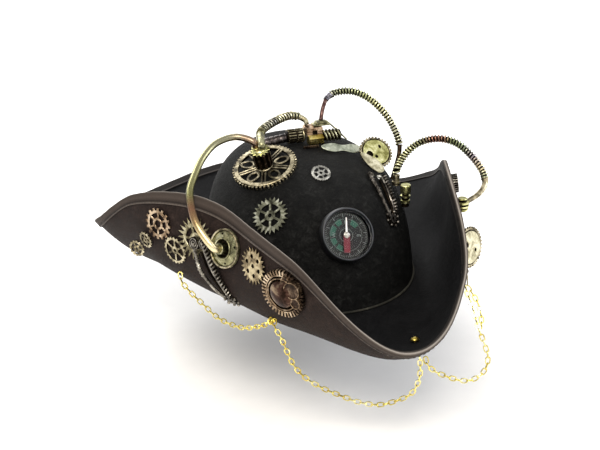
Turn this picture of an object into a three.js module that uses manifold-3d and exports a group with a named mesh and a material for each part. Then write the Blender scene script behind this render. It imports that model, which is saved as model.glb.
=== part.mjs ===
// A steampunk tricorn hat: a leather crown and turned-up brim with brass gears, hoses, a compass and chains.
// Millimetres, +Z up. The wearer faces -Y, and the wearer's left hand is at +X.
// The origin is the middle of the head opening, in the plane where the crown is sewn to the brim.
import * as THREE from 'three'
import Module from 'manifold-3d'
import { mergeVertices } from 'three/addons/utils/BufferGeometryUtils.js'

const wasm = await Module()
wasm.setup()

// Head opening and leather
const HEAD_HALF_WIDTH = 84
const HEAD_HALF_LENGTH = 101
const LEATHER = 2
const GAP = 0.3

// Crown: a full dome that narrows upwards and leans back
const CROWN_HEIGHT = 102
const CROWN_FULLNESS = 3.1
const CROWN_TAPER = 0.07
const CROWN_SET_BACK = 16
const CROWN_ANGLE_STEPS = 32
const CROWN_CLIMB_STEPS = 7

// Brim: one row for each section round the head opening, front at 0, the wearer's left positive.
// reach is how far the edge stands from the middle and rise is its height. The leather leaves the
// crown towards a knee, out from the crown by knee and up by lift, before it turns up to the edge.
const BRIM_SECTIONS = [
  { angle: -180, reach: 203, rise: 19, knee: 32, lift: -8 },
  { angle: -157, reach: 205, rise: 8, knee: 34, lift: -11 },
  { angle: -138, reach: 197, rise: 10, knee: 40, lift: -15 },
  { angle: -124, reach: 186, rise: 22, knee: 47, lift: -17 },
  { angle: -110, reach: 175, rise: 40, knee: 56, lift: -7 },
  { angle: -92, reach: 147, rise: 79, knee: 67, lift: 11 },
  { angle: -70, reach: 121, rise: 92, knee: 57, lift: 14 },
  { angle: -48, reach: 118, rise: 85, knee: 58, lift: 15 },
  { angle: -24, reach: 164, rise: 74, knee: 73, lift: -2 },
  { angle: 0, reach: 210, rise: 15, knee: 67, lift: -20 },
  { angle: 24, reach: 173, rise: 39, knee: 54, lift: -18 },
  { angle: 48, reach: 125, rise: 87, knee: 45, lift: -13 },
  { angle: 70, reach: 113, rise: 91, knee: 44, lift: -11 },
  { angle: 92, reach: 127, rise: 70, knee: 52, lift: -16 },
  { angle: 110, reach: 156, rise: 54, knee: 52, lift: -16 },
  { angle: 124, reach: 193, rise: 22, knee: 46, lift: -12 },
  { angle: 138, reach: 201, rise: 2, knee: 40, lift: -9 },
  { angle: 157, reach: 206, rise: 6, knee: 35, lift: -8 },
]
const BRIM_ANGLE_STEPS = 48
const BRIM_SHARES = [0, 0.18, 0.36, 0.54, 0.74, 0.945, 1]
const BINDING_SHARE = 0.945
const BINDING_THICKNESS = 0.9

const radians = THREE.MathUtils.degToRad
const lerp = THREE.MathUtils.lerp

// The brim's rows are joined by a smooth closed curve, looked up by angle.
function sectionAt(angle) {
  const turn = THREE.MathUtils.euclideanModulo(angle + 180, 360)
  const count = BRIM_SECTIONS.length
  const start = (row) => BRIM_SECTIONS[row % count].angle + 180 + 360 * Math.floor(row / count)
  let row = 0
  while (start(row + 1) <= turn) row += 1
  const span = start(row + 1) - start(row)
  const share = (turn - start(row)) / span
  const smooth = (key) => {
    const value = (step) => BRIM_SECTIONS[(row + step + count) % count][key]
    const place = (step) => start(row + step + count) - 360
    const slope = (step) => (value(step + 1) - value(step - 1)) / (place(step + 1) - place(step - 1))
    const s2 = share * share
    const s3 = s2 * share
    return value(0) * (2 * s3 - 3 * s2 + 1) + slope(0) * span * (s3 - 2 * s2 + share)
      + value(1) * (3 * s2 - 2 * s3) + slope(1) * span * (s3 - s2)
  }
  return { reach: smooth('reach'), rise: smooth('rise'), knee: smooth('knee'), lift: smooth('lift') }
}

const direction = (angle) => new THREE.Vector3(Math.sin(radians(angle)), -Math.cos(radians(angle)), 0)

function openingRadius(angle) {
  const way = direction(angle)
  return 1 / Math.hypot(way.x / HEAD_HALF_WIDTH, way.y / HEAD_HALF_LENGTH)
}

// A point of the brim: share runs from the opening to the edge, and side is the distance in mm
// from the middle of the leather, positive towards the inside of the turned-up flap.
function brimPoint(angle, share, side, beyond = 0) {
  const { reach, rise, knee, lift } = sectionAt(angle)
  const root = openingRadius(angle)
  const turn = root + LEATHER + knee
  const out = root * (1 - share) ** 2 + 2 * share * (1 - share) * turn + share ** 2 * reach
  const up = 2 * share * (1 - share) * lift + share ** 2 * rise
  const outSlope = 2 * (1 - share) * (turn - root) + 2 * share * (reach - turn)
  const upSlope = 2 * (1 - share) * lift + 2 * share * (rise - lift)
  const length = Math.hypot(outSlope, upSlope)
  const along = new THREE.Vector2(outSlope / length, upSlope / length)
  const radius = out - along.y * side + along.x * beyond
  const height = up + along.x * side + along.y * beyond
  return direction(angle).multiplyScalar(radius).setZ(height)
}

// A point of the crown: climb runs from the base to the top, and inset is the depth below the outside.
function crownPoint(angle, climb, inset = 0) {
  const slope = radians(90 * climb)
  const height = Math.sin(slope) ** (2 / CROWN_FULLNESS)
  const round = Math.cos(slope) ** (2 / CROWN_FULLNESS) * (1 - CROWN_TAPER * height)
  const way = direction(angle)
  const radius = 1 / Math.hypot(
    way.x / (HEAD_HALF_WIDTH + LEATHER - inset), way.y / (HEAD_HALF_LENGTH + LEATHER - inset))
  const { knee, lift } = sectionAt(angle)
  const foot = LEATHER / 2 + 2 * GAP + Math.max(0, lift / knee) * LEATHER
  const rise = lerp(foot, CROWN_HEIGHT - inset, height)
  return way.multiplyScalar(radius * round).add(new THREE.Vector3(0, CROWN_SET_BACK * height ** 1.5, rise))
}

// Merges the shared points of a geometry and drops the triangles that a pole leaves empty.
function closed(geometry) {
  geometry.deleteAttribute('normal')
  geometry.deleteAttribute('uv')
  const merged = mergeVertices(geometry, 1e-4)
  const index = Array.from(merged.index.array)
  const kept = []
  for (let i = 0; i < index.length; i += 3) {
    const [a, b, c] = index.slice(i, i + 3)
    if (a !== b && b !== c && c !== a) kept.push(a, b, c)
  }
  merged.setIndex(kept)
  return merged
}

// A closed skin of rings round the hat. outline is the section's closed line, place(angle, corner)
// is the point of a corner at an angle, and each four-sided face is split from its lower share at one
// angle to its higher share at the next, so that skins laid on each other are split alike.
function ringSkin(angleSteps, outline, place) {
  const corners = outline.length
  const points = []
  for (let turn = 0; turn < angleSteps; turn += 1) {
    for (const corner of outline) points.push(place(360 * turn / angleSteps, corner))
  }
  const faces = []
  for (let turn = 0; turn < angleSteps; turn += 1) {
    const next = (turn + 1) % angleSteps
    for (let line = 0; line < corners; line += 1) {
      const after = (line + 1) % corners
      const [a, b, c, d] = [[turn, line], [next, line], [next, after], [turn, after]]
        .map(([ring, spot]) => ring * corners + spot)
      if (outline[after].share > outline[line].share) faces.push(a, b, c, a, c, d)
      else faces.push(a, b, d, b, c, d)
    }
  }
  const geometry = new THREE.BufferGeometry().setFromPoints(points)
  geometry.setIndex(faces)
  return closed(geometry)
}

// A flat outline with holes, given a thickness along +Z.
function plate(shape, thickness) {
  return closed(new THREE.ExtrudeGeometry(shape, { depth: thickness, bevelEnabled: false }))
}

// A shape turned about +Z from a profile of [radius, height] points that starts and ends on the axis.
function turned(profile, sides) {
  const points = profile.map(([radius, height]) => new THREE.Vector2(radius, height))
  return closed(new THREE.LatheGeometry(points, sides).rotateX(Math.PI / 2))
}

function circle(radius, sides, start = 0) {
  return Array.from({ length: sides }, (_, side) => {
    const turn = start + 2 * Math.PI * side / sides
    return new THREE.Vector2(radius * Math.cos(turn), radius * Math.sin(turn))
  })
}

// A round bar along a curve, cut square at its ends.
function rod(curve, radius, sides, steps) {
  const section = new THREE.Shape(circle(radius, sides))
  return closed(new THREE.ExtrudeGeometry(section, { steps, extrudePath: curve }))
}

const smoothRoute = (route) => new THREE.CatmullRomCurve3(route.map((point) => new THREE.Vector3(...point)))

const bar = (route, radius, sides, steps) => rod(smoothRoute(route), radius, sides, steps)

// The stretch of a curve between two shares of its length.
class Stretch extends THREE.Curve {
  constructor(whole, start, end) {
    super()
    Object.assign(this, { whole, start, end })
  }

  getPoint(share, target = new THREE.Vector3()) {
    return this.whole.getPointAt(lerp(this.start, this.end, share), target)
  }
}

// A toothed outline. land is the share of a tooth's pitch that is flat at its tip, 0 for a pointed tooth.
function toothed({ teeth, tip, root, land = 0 }) {
  const pitch = 2 * Math.PI / teeth
  const spot = (radius, turn) => new THREE.Vector2(radius * Math.cos(turn), radius * Math.sin(turn))
  const points = []
  for (let tooth = 0; tooth < teeth; tooth += 1) {
    const middle = pitch * tooth
    if (land > 0) {
      const half = pitch * land / 2
      points.push(spot(root, middle - 1.35 * half), spot(tip, middle - half))
      points.push(spot(tip, middle + half), spot(root, middle + 1.35 * half))
    } else {
      points.push(spot(tip, middle), spot(root, middle + pitch / 2))
    }
  }
  return points
}

// The openings between a wheel's spokes: each runs from inner to outer and leaves spokes of one width.
function windows({ spokes, inner, outer, spoke, facets = 2 }) {
  return Array.from({ length: spokes }, (_, place) => {
    const middle = 2 * Math.PI * (place + 0.5) / spokes
    const reachIn = Math.PI / spokes - Math.asin(spoke / 2 / inner)
    const reachOut = Math.PI / spokes - Math.asin(spoke / 2 / outer)
    const points = []
    for (let facet = 0; facet <= facets; facet += 1) {
      const turn = middle + reachOut * (2 * facet / facets - 1)
      points.push(new THREE.Vector2(outer * Math.cos(turn), outer * Math.sin(turn)))
    }
    for (const end of [1, -1]) {
      const turn = middle + reachIn * end
      points.push(new THREE.Vector2(inner * Math.cos(turn), inner * Math.sin(turn)))
    }
    return points
  })
}

// Round holes on a circle.
function drilled({ holes, circleRadius, holeRadius, sides = 6 }) {
  return Array.from({ length: holes }, (_, place) => {
    const turn = 2 * Math.PI * (place + 0.5) / holes
    const middle = new THREE.Vector2(circleRadius * Math.cos(turn), circleRadius * Math.sin(turn))
    return circle(holeRadius, sides, turn).map((point) => point.add(middle))
  })
}

function gear(outline, holes, thickness) {
  const shape = new THREE.Shape(outline)
  for (const hole of holes) shape.holes.push(new THREE.Path(hole))
  return plate(shape, thickness)
}

// The outer surfaces that pieces are fixed to: a point from an angle and a share of the way up.
const surfaces = {
  crown: { at: (angle, share) => crownPoint(angle, share), out: 1 },
  brimOutside: { at: (angle, share) => brimPoint(angle, share, -LEATHER / 2), out: 1 },
  brimInside: { at: (angle, share) => brimPoint(angle, share, LEATHER / 2), out: -1 },
}

// The axes of a spot on a surface: out of the leather, up towards the edge or the top, and across.
function spotOn(surface, angle, share) {
  const { at, out } = surfaces[surface]
  const nearAngle = 0.2
  const nearShare = 0.01
  const origin = at(angle, share)
  const round = at(angle + nearAngle, share).sub(at(angle - nearAngle, share))
  const rise = at(angle, Math.min(1, share + nearShare)).sub(at(angle, Math.max(0, share - nearShare)))
  const z = new THREE.Vector3().crossVectors(round, rise).normalize().multiplyScalar(out)
  const y = rise.addScaledVector(z, -rise.dot(z)).normalize()
  const x = new THREE.Vector3().crossVectors(y, z)
  return { origin, axes: new THREE.Matrix4().makeBasis(x, y, z) }
}

// Sets a piece, modelled with its back on z = 0, on a surface. lean tilts it about its across and up
// axes, turn spins it, and lift is what lies under it. It is moved out until its back of the given
// radius clears the bulge of the leather.
function seat(mesh, { on, angle, share, radius, turn = 0, lean = [0, 0], lift = 0 }) {
  const { origin, axes } = spotOn(on, angle, share)
  const tilt = new THREE.Matrix4().makeRotationFromEuler(
    new THREE.Euler(radians(lean[0]), radians(lean[1]), 0))
  const spin = new THREE.Matrix4().makeRotationZ(radians(turn))
  const placed = axes.clone().multiply(tilt)
  const normal = new THREE.Vector3().setFromMatrixColumn(placed, 2)
  const { at } = surfaces[on]
  let bulge = 0
  for (let i = -12; i <= 12; i += 1) {
    for (let j = -12; j <= 12; j += 1) {
      const nearShare = share + 0.02 * j
      if (nearShare < 0 || nearShare > 1) continue
      const offset = at(angle + 2 * i, nearShare).sub(origin)
      const height = offset.dot(normal)
      if (offset.addScaledVector(normal, -height).length() <= radius) bulge = Math.max(bulge, height)
    }
  }
  mesh.setRotationFromMatrix(placed.clone().multiply(spin))
  mesh.position.copy(origin).addScaledVector(normal, bulge + GAP + lift)
  return mesh
}

const finishes = {
  crownLeather: new THREE.MeshStandardMaterial({ color: '#2a2a2a', roughness: 0.75 }),
  brimLeather: new THREE.MeshStandardMaterial({ color: '#443a36', roughness: 0.7 }),
  bindingLeather: new THREE.MeshStandardMaterial({ color: '#6b605a', roughness: 0.6 }),
  paleBrass: new THREE.MeshStandardMaterial({ color: '#b9ab84', roughness: 0.35, metalness: 1 }),
  brass: new THREE.MeshStandardMaterial({ color: '#a8904f', roughness: 0.35, metalness: 1 }),
  gold: new THREE.MeshStandardMaterial({ color: '#d8b850', roughness: 0.25, metalness: 1 }),
  copper: new THREE.MeshStandardMaterial({ color: '#8d6246', roughness: 0.4, metalness: 1 }),
  bronze: new THREE.MeshStandardMaterial({ color: '#4b3b2b', roughness: 0.45, metalness: 1 }),
  silver: new THREE.MeshStandardMaterial({ color: '#8f8d86', roughness: 0.4, metalness: 1 }),
  blackPlastic: new THREE.MeshStandardMaterial({ color: '#1f2224', roughness: 0.5 }),
  dialPrint: new THREE.MeshStandardMaterial({ color: '#15191a', roughness: 0.7 }),
  needlePaint: new THREE.MeshStandardMaterial({ color: '#d9d4cf', roughness: 0.5 }),
  lensPlastic: new THREE.MeshStandardMaterial({
    color: '#eef2f2', roughness: 0.1, transparent: true, opacity: 0.2 }),
}

const hat = new THREE.Group()

function add(name, geometry, finish) {
  const mesh = new THREE.Mesh(geometry, finishes[finish])
  mesh.name = name
  hat.add(mesh)
  return mesh
}

// The share of each step of a line that is walked out on one side of the leather and back on the other.
function outAndBack(shares, outSide, backSide) {
  const out = shares.map((share) => ({ share, side: outSide }))
  const back = [...shares].reverse().map((share) => ({ share, side: backSide }))
  return [...out, ...back]
}

function crown() {
  const climbs = Array.from({ length: CROWN_CLIMB_STEPS + 1 }, (_, step) => step / CROWN_CLIMB_STEPS)
  return ringSkin(CROWN_ANGLE_STEPS, outAndBack(climbs, 0, LEATHER),
    (angle, corner) => crownPoint(angle, corner.share, corner.side))
}

function brim() {
  return ringSkin(BRIM_ANGLE_STEPS, outAndBack(BRIM_SHARES, -LEATHER / 2, LEATHER / 2),
    (angle, corner) => brimPoint(angle, corner.share, corner.side))
}

function binding() {
  const inner = LEATHER / 2 + GAP
  const outer = inner + BINDING_THICKNESS
  const outline = [
    { share: BINDING_SHARE, side: outer, beyond: 0 },
    { share: BINDING_SHARE, side: inner, beyond: 0 },
    { share: 1, side: inner, beyond: GAP },
    { share: 1, side: -inner, beyond: GAP },
    { share: BINDING_SHARE, side: -inner, beyond: 0 },
    { share: BINDING_SHARE, side: -outer, beyond: 0 },
    { share: 1, side: -outer, beyond: GAP + BINDING_THICKNESS },
    { share: 1, side: outer, beyond: GAP + BINDING_THICKNESS },
  ]
  return ringSkin(BRIM_ANGLE_STEPS, outline,
    (angle, corner) => brimPoint(angle, corner.share, corner.side, corner.beyond))
}

// The flat wheels. Each row names a wheel, its teeth and holes, and where it is fixed.
const WHEELS = [
  { name: 'gear_small_front', finish: 'paleBrass', thickness: 1.2,
    rim: { teeth: 12, tip: 6, root: 5 },
    spokes: { spokes: 5, inner: 1.6, outer: 3.9, spoke: 1, facets: 1 },
    place: { on: 'brimOutside', angle: -86.3, share: 0.7, radius: 6 } },
  { name: 'gear_small_back', finish: 'paleBrass', thickness: 1.2,
    rim: { teeth: 12, tip: 6.4, root: 5.4 },
    spokes: { spokes: 5, inner: 1.7, outer: 4.2, spoke: 1, facets: 1 },
    place: { on: 'brimOutside', angle: -95.4, share: 0.61, radius: 6.4 } },
  { name: 'gear_ring', finish: 'copper', thickness: 1.5,
    rim: { teeth: 14, tip: 12.5, root: 10.8, land: 0.42 },
    spokes: { spokes: 6, inner: 3.6, outer: 8.6, spoke: 1.6 }, bore: 1.6,
    place: { on: 'brimOutside', angle: -80.4, share: 0.825, radius: 12.5 } },
  { name: 'gear_six_spoke', finish: 'paleBrass', thickness: 1.5,
    rim: { teeth: 16, tip: 11.2, root: 9.8 }, spokes: { spokes: 6, inner: 3.2, outer: 8, spoke: 1.4 },
    place: { on: 'brimOutside', angle: -73.3, share: 0.665, radius: 11.2 } },
  { name: 'gear_sunburst', finish: 'brass', thickness: 1.2,
    rim: { teeth: 20, tip: 15.8, root: 10.6 }, spokes: { spokes: 5, inner: 3, outer: 8, spoke: 2 },
    place: { on: 'brimOutside', angle: -63.8, share: 0.79, radius: 15.8, lift: 0.3 } },
  { name: 'gear_drilled', finish: 'paleBrass', thickness: 1.5,
    rim: { teeth: 22, tip: 14.8, root: 11.4 }, drilled: { holes: 6, circleRadius: 7.2, holeRadius: 1.7 },
    bore: 1.7, place: { on: 'brimOutside', angle: -36, share: 0.835, radius: 14.8, lift: 0.3 } },
  { name: 'copper_wheel', finish: 'brass', thickness: 3,
    rim: { teeth: 30, tip: 19.4, root: 17 }, bore: 12.6, boreSides: 14,
    place: { on: 'brimOutside', angle: -25.8, share: 0.8, radius: 19.4, lift: 0.2 } },
  { name: 'gear_crown_large', finish: 'paleBrass', thickness: 2,
    rim: { teeth: 42, tip: 26.7, root: 24.9 },
    spokes: { spokes: 5, inner: 7, outer: 21.6, spoke: 3, facets: 3 }, bore: 2,
    place: { on: 'crown', angle: -58, share: 0.72, radius: 26.7, lean: [0, 5] } },
  { name: 'gear_crown_tiny', finish: 'silver', thickness: 1.2,
    rim: { teeth: 14, tip: 8, root: 6.9 },
    spokes: { spokes: 6, inner: 2.4, outer: 5.6, spoke: 1.1, facets: 1 },
    place: { on: 'crown', angle: -3.9, share: 0.72, radius: 8, lean: [10, 0] } },
  { name: 'gear_crown_middle', finish: 'brass', thickness: 1.5,
    rim: { teeth: 20, tip: 15.4, root: 11.8 }, spokes: { spokes: 6, inner: 3.6, outer: 9.8, spoke: 1.8 },
    bore: 1.5, place: { on: 'crown', angle: -39.1, share: 0.38, radius: 15.4 } },
]

function wheels() {
  for (const { name, finish, thickness, rim, spokes, drilled: ring, bore, boreSides = 8, place } of WHEELS) {
    const holes = []
    if (spokes) holes.push(...windows(spokes))
    if (ring) holes.push(...drilled(ring))
    if (bore) holes.push(circle(bore, boreSides))
    seat(add(name, gear(toothed(rim), holes, thickness), finish), place)
  }
}

// A closed mesh as a solid that can be joined and cut, and back again.
function solid(geometry) {
  return new wasm.Manifold(new wasm.Mesh({
    numProp: 3,
    vertProperties: new Float32Array(geometry.attributes.position.array),
    triVerts: new Uint32Array(geometry.index.array),
  }))
}

function fromSolid(manifold) {
  const { vertProperties, triVerts } = manifold.getMesh()
  const geometry = new THREE.BufferGeometry()
  geometry.setAttribute('position', new THREE.BufferAttribute(vertProperties, 3))
  geometry.setIndex(new THREE.BufferAttribute(triVerts, 1))
  return geometry
}

const joined = (pieces) => fromSolid(pieces.map(solid).reduce((whole, piece) => whole.add(piece)))

// A point of a seated piece and the way that its axis points, in the hat's axes.
function spotOf(mesh, local) {
  mesh.updateMatrix()
  return new THREE.Vector3(...local).applyMatrix4(mesh.matrix)
}

const wayOf = (mesh) => new THREE.Vector3(0, 0, 1).applyQuaternion(mesh.quaternion)

// The two first points of a route that leaves a seated piece straight out of a spot on its top.
function leave(mesh, local, lead) {
  const start = spotOf(mesh, local).addScaledVector(wayOf(mesh), 2.5 * GAP)
  return [start, start.clone().addScaledVector(wayOf(mesh), lead)].map((point) => point.toArray())
}

// A line of round pieces end to end along one route. Each part goes on to its share of the length.
const END_GAP = 0.4

function pipeline(route, parts) {
  const whole = smoothRoute(route)
  const half = END_GAP / 2 / whole.getLength()
  let from = 0
  for (const { name, finish, radius, until, steps } of parts) {
    const start = from === 0 ? 0 : from + half
    const end = until === 1 ? 1 : until - half
    add(name, rod(new Stretch(whole, start, end), radius, 8, steps), finish)
    from = until
  }
}

// Points over a surface, from rows of angle, share and height.
function overSurface(on, stops) {
  return stops.map(([angle, share, height]) => {
    const { origin, axes } = spotOn(on, angle, share)
    return origin.addScaledVector(new THREE.Vector3().setFromMatrixColumn(axes, 2), height).toArray()
  })
}

// Sets a piece by its own place, with its axis along the way given and a turn about it.
function stand(mesh, { at, facing = [0, 0, 1], turn = 0 }) {
  mesh.position.set(...at)
  mesh.quaternion.setFromUnitVectors(new THREE.Vector3(0, 0, 1), new THREE.Vector3(...facing).normalize())
  mesh.rotateZ(radians(turn))
  return mesh
}

// The stepped boss on the flap that the brass tube goes into
const BOSS_PLACE = { on: 'brimOutside', angle: -49, share: 0.82, radius: 15.5, lift: 0.2 }
const BOSS_PROFILE = [[0, 0], [15.5, 0], [15.5, 1.4], [12.4, 1.4], [11.2, 2.6], [8, 2.6], [7, 4.6],
  [4.2, 4.6], [4.2, 8], [0, 8]]
const BOSS_HEIGHT = 8

// The spool that stands in the middle of the large gear, and its pointed cap
const LARGE_GEAR = WHEELS.find((wheel) => wheel.name === 'gear_crown_large')
const SPOOL = { teeth: 10, tip: 7.6, root: 5.8, land: 0.4 }
const SPOOL_HEIGHT = 14
const CAP = { teeth: 12, tip: 7.8, root: 6.4 }
const CAP_HEIGHT = 3.6
const CAP_OUTLET = 3.5

// The brass tube, from the cap over the edge of the brim into the boss
const TUBE_RADIUS = 2.9
const TUBE_ROUTE = [[-63, -5.5, 123], [-80, -7, 120.5], [-93.5, -16, 114], [-105.5, -31, 105.5],
  [-114.4, -46.2, 98], [-117.5, -60.5, 90.5], [-118, -72, 84], [-115, -81, 76]]

// The wound hose from the cap back to the valve, and its smooth end
const LEFT_HOSE_ROUTE = [[-40, 1, 122.5], [-29, 11, 124.3], [-16.5, 20, 124.8], [-6, 25, 124.5],
  [2, 25.2, 122], [6, 22.8, 119.4], [6.8, 21.6, 116.3]]
const LEFT_HOSE_PARTS = [
  { name: 'hose_left', finish: 'silver', radius: 3.4, until: 0.88, steps: 10 },
  { name: 'hose_left_end', finish: 'silver', radius: 2, until: 1, steps: 3 },
]

function tubeAndSpool() {
  const boss = seat(add('tube_boss', turned(BOSS_PROFILE, 14), 'brass'), BOSS_PLACE)
  const onGear = { ...LARGE_GEAR.place, lift: LARGE_GEAR.thickness + GAP }
  seat(add('spool', gear(toothed(SPOOL), [], SPOOL_HEIGHT), 'bronze'), onGear)
  const onSpool = { ...onGear, lift: onGear.lift + SPOOL_HEIGHT + GAP }
  const cap = seat(add('spool_cap', gear(toothed(CAP), [], CAP_HEIGHT), 'gold'), onSpool)
  const fromCap = leave(cap, [-CAP_OUTLET, 0, CAP_HEIGHT], 4)
  const intoBoss = leave(boss, [0, 0, BOSS_HEIGHT], 3).reverse()
  add('brass_tube', bar([...fromCap, ...TUBE_ROUTE, ...intoBoss], TUBE_RADIUS, 8, 15), 'gold')
  pipeline([...leave(cap, [CAP_OUTLET, 0, CAP_HEIGHT], 3), ...LEFT_HOSE_ROUTE], LEFT_HOSE_PARTS)
}

// The valve across the top of the crown: a pipe, a collar and blocks that stand on the leather
const VALVE_TOP = CROWN_HEIGHT + GAP
const PIPE_ROUTE = [[-33, 21, 104.6], [-12.6, 20, 107.4]]
const COLLAR_START = [-11.9, 20, 108.3]
const COLLAR_PROFILE = [[0, 0], [4.8, 0], [6, 2], [6, 8], [5.2, 8.6], [5.2, 9.6], [6, 10.2], [6, 13.6],
  [4.6, 15.6], [0, 15.6]]
const WORM_START = [18.4, 14, VALVE_TOP + 5.2]
const WORM_PROFILE = [[0, 0], [5.2, 0], [5.2, 2.4], [3.8, 2.9], [3.8, 3.9], [5.2, 4.4], [5.2, 7], [3.8, 7.5],
  [3.8, 8.5], [5.2, 9], [5.2, 12.6], [0, 12.6]]
const BLOCKS = [
  { name: 'valve_nut', finish: 'gold', from: [5, 9, VALVE_TOP], to: [18, 18, 108.3] },
  { name: 'valve_block', finish: 'copper', from: [4, 13, 108.6], to: [18, 25, 115.5] },
  { name: 'top_plate', finish: 'brass', from: [9.6, 14, 115.8], to: [26.4, 23, 119.4] },
]

const alongX = (geometry, [x, y, z]) => geometry.rotateY(Math.PI / 2).translate(x, y, z)

function valve() {
  add('valve_pipe', bar(PIPE_ROUTE, 3.9, 10, 1), 'bronze')
  add('valve_collar', alongX(turned(COLLAR_PROFILE, 12), COLLAR_START), 'brass')
  add('valve_worm', alongX(turned(WORM_PROFILE, 10), WORM_START), 'bronze')
  for (const { name, finish, from, to } of BLOCKS) {
    const size = to.map((value, axis) => value - from[axis])
    const middle = to.map((value, axis) => (value + from[axis]) / 2)
    add(name, closed(new THREE.BoxGeometry(...size).translate(...middle)), finish)
  }
}

const HOSE_RADIUS = 3.2

// Tall hose: a thin pipe out of the top plate, a wound middle and a smooth tail down to the crown
const TALL_HOSE_ROUTE = [
  [18.4, 19, 120.1], [19.5, 20.5, 124], [22.5, 24, 130], [28, 29, 135.5], [36, 30, 138.5], [48, 24, 140],
  [58, 15, 136.5], [66, 5, 129], [72, -4, 119], [75, -14, 106], [74, -18, 97], [70, -20.5, 86],
  [66.3, -21.5, 75.5]]
const TALL_HOSE_PARTS = [
  { name: 'hose_tall_pipe', finish: 'copper', radius: 1.2, until: 0.13, steps: 5 },
  { name: 'hose_tall', finish: 'silver', radius: HOSE_RADIUS, until: 0.79, steps: 13 },
  { name: 'hose_tall_tail', finish: 'bronze', radius: 1.6, until: 1, steps: 5 },
]

// Short hose: out of its cup on the crown, wound over the side, to a smooth end in the terminal on the flap
const CUP_PLACE = { at: [66, -31, 74], facing: [0.08, 0.1, 1] }
const CUP_PROFILE = [[0, 0], [3.6, 0], [3.6, 3], [2.9, 3.6], [2.9, 9], [0, 9]]
const CUP_HEIGHT = 9
const SHORT_HOSE_ROUTE = [
  [72, -26, 92], [80.4, -23.5, 100], [90, -26, 107], [103, -34, 111], [114, -44, 109], [121, -54, 102.5],
  [125.5, -64, 95], [127, -70.5, 89], [125, -76.5, 83], [118, -81, 78], [108.6, -85, 74.6]]
const SHORT_HOSE_PARTS = [
  { name: 'hose_short', finish: 'silver', radius: HOSE_RADIUS, until: 0.79, steps: 13 },
  { name: 'hose_short_end', finish: 'brass', radius: 1.7, until: 1, steps: 5 },
]
const TERMINAL_PLACE = { at: [101.2, -87.8, 68] }
const TERMINAL_PROFILE = [[0, 0], [4, 0], [5, 1.4], [4, 2.6], [5.4, 3.6], [5.4, 5], [4, 5.8], [5.6, 6.8],
  [5.6, 8.4], [4, 9.2], [4, 11], [0, 11]]
const FITTING_PLACE = { at: [72.8, -37.9, 56] }
const FITTING_PROFILE = [[0, 0], [3.4, 0], [3.4, 4], [4, 4], [4, 6], [3.2, 6], [3.2, 10], [4, 10],
  [4, 18], [0, 18]]

function hoses() {
  pipeline(TALL_HOSE_ROUTE, TALL_HOSE_PARTS)
  const cup = stand(add('hose_cup', turned(CUP_PROFILE, 10), 'gold'), CUP_PLACE)
  pipeline([...leave(cup, [0, 0, CUP_HEIGHT], 3), ...SHORT_HOSE_ROUTE], SHORT_HOSE_PARTS)
  stand(add('hose_terminal', turned(TERMINAL_PROFILE, 12), 'brass'), TERMINAL_PLACE)
  stand(add('crown_fitting', turned(FITTING_PROFILE, 10), 'gold'), FITTING_PLACE)
}

// Plates with round lobes that lie on top of the crown, and the toothed disc that stands behind them
const WING_PLATE = { lobes: 2, length: 35, width: 9.6, waist: 5.4, steps: 6 }
const WING_LEAF = { lobes: 1, length: 29, width: 10, waist: 2.4, steps: 8 }
const WING_THICKNESS = 1.4
const DISC_RIM = { teeth: 28, tip: 13.6, root: 12.4 }
const DISC_PLACE = { at: [51.5, -15.5, 99.2], facing: [0.05, -0.7, 0.7] }
const LEAF_PLACE = { at: [47, -24.7, 93.7], facing: [0.05, -0.7, 0.7], turn: -49 }

function lobed({ lobes, length, width, waist, steps }) {
  const half = Array.from({ length: lobes * steps + 1 }, (_, step) => {
    const along = step / (lobes * steps)
    const swell = Math.abs(Math.sin(Math.PI * lobes * along))
    const atEnd = step === 0 || step === lobes * steps
    const across = atEnd ? waist / 2 : waist + (width - waist) * swell
    return new THREE.Vector2(length * (along - 0.5), across / 2)
  })
  return [...half, ...[...half].reverse().map((point) => new THREE.Vector2(point.x, -point.y))].reverse()
}

function topOrnaments() {
  const plateOn = { on: 'crown', angle: 60, share: 0.858, radius: 17, turn: -66, lift: 0.3 }
  seat(add('wing_plate', gear(lobed(WING_PLATE), [], WING_THICKNESS), 'silver'), plateOn)
  stand(add('wing_leaf', gear(lobed(WING_LEAF), [], WING_THICKNESS), 'silver'), LEAF_PLACE)
  const holes = [circle(2.6, 8), circle(1.3, 6).map((point) => point.add(new THREE.Vector2(4.6, -4.2)))]
  stand(add('crown_disc', gear(toothed(DISC_RIM), holes, 2), 'gold'), DISC_PLACE)
}

// Clock hands: two rails over the leather, held by a cluster of small wheels at the foot. A stop is an
// angle, a share of the way up and the height above the leather.
const RAIL_SIDES = 5
const RAIL_RADIUS = 1.2
const HAND_THICKNESS = 2.6
const HANDS = [
  { name: 'clock_hand_left', finish: 'bronze', on: 'brimOutside',
    rails: [
      [[-62.6, 0.77, 5.6], [-62, 0.61, 5.4], [-58.5, 0.51, 4.2], [-54, 0.42, 2.4], [-50, 0.36, 2]],
      [[-58.4, 0.79, 5.6], [-55.8, 0.72, 5.4], [-53.3, 0.64, 4], [-50.2, 0.54, 2.4], [-48.3, 0.4, 2]],
    ],
    scrolls: [[-62.6, 0.77], [-58.4, 0.79]], scrollRadius: 4, scrollLift: 3.4,
    cluster: [-48.4, 0.37], clusterRadius: 8 },
  { name: 'clock_hand_right', finish: 'silver', on: 'crown',
    rails: [
      [[40, 0.585, 1.9], [35.3, 0.49, 1.9], [33.8, 0.4, 1.9], [35, 0.31, 1.9]],
      [[60, 0.49, 1.9], [50.5, 0.4, 1.9], [45.5, 0.31, 1.9], [41, 0.27, 1.9]],
    ],
    scrolls: [[40, 0.6]], scrollRadius: 2.6, scrollLift: 0,
    cluster: [37.5, 0.26], clusterRadius: 8 },
]

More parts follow.
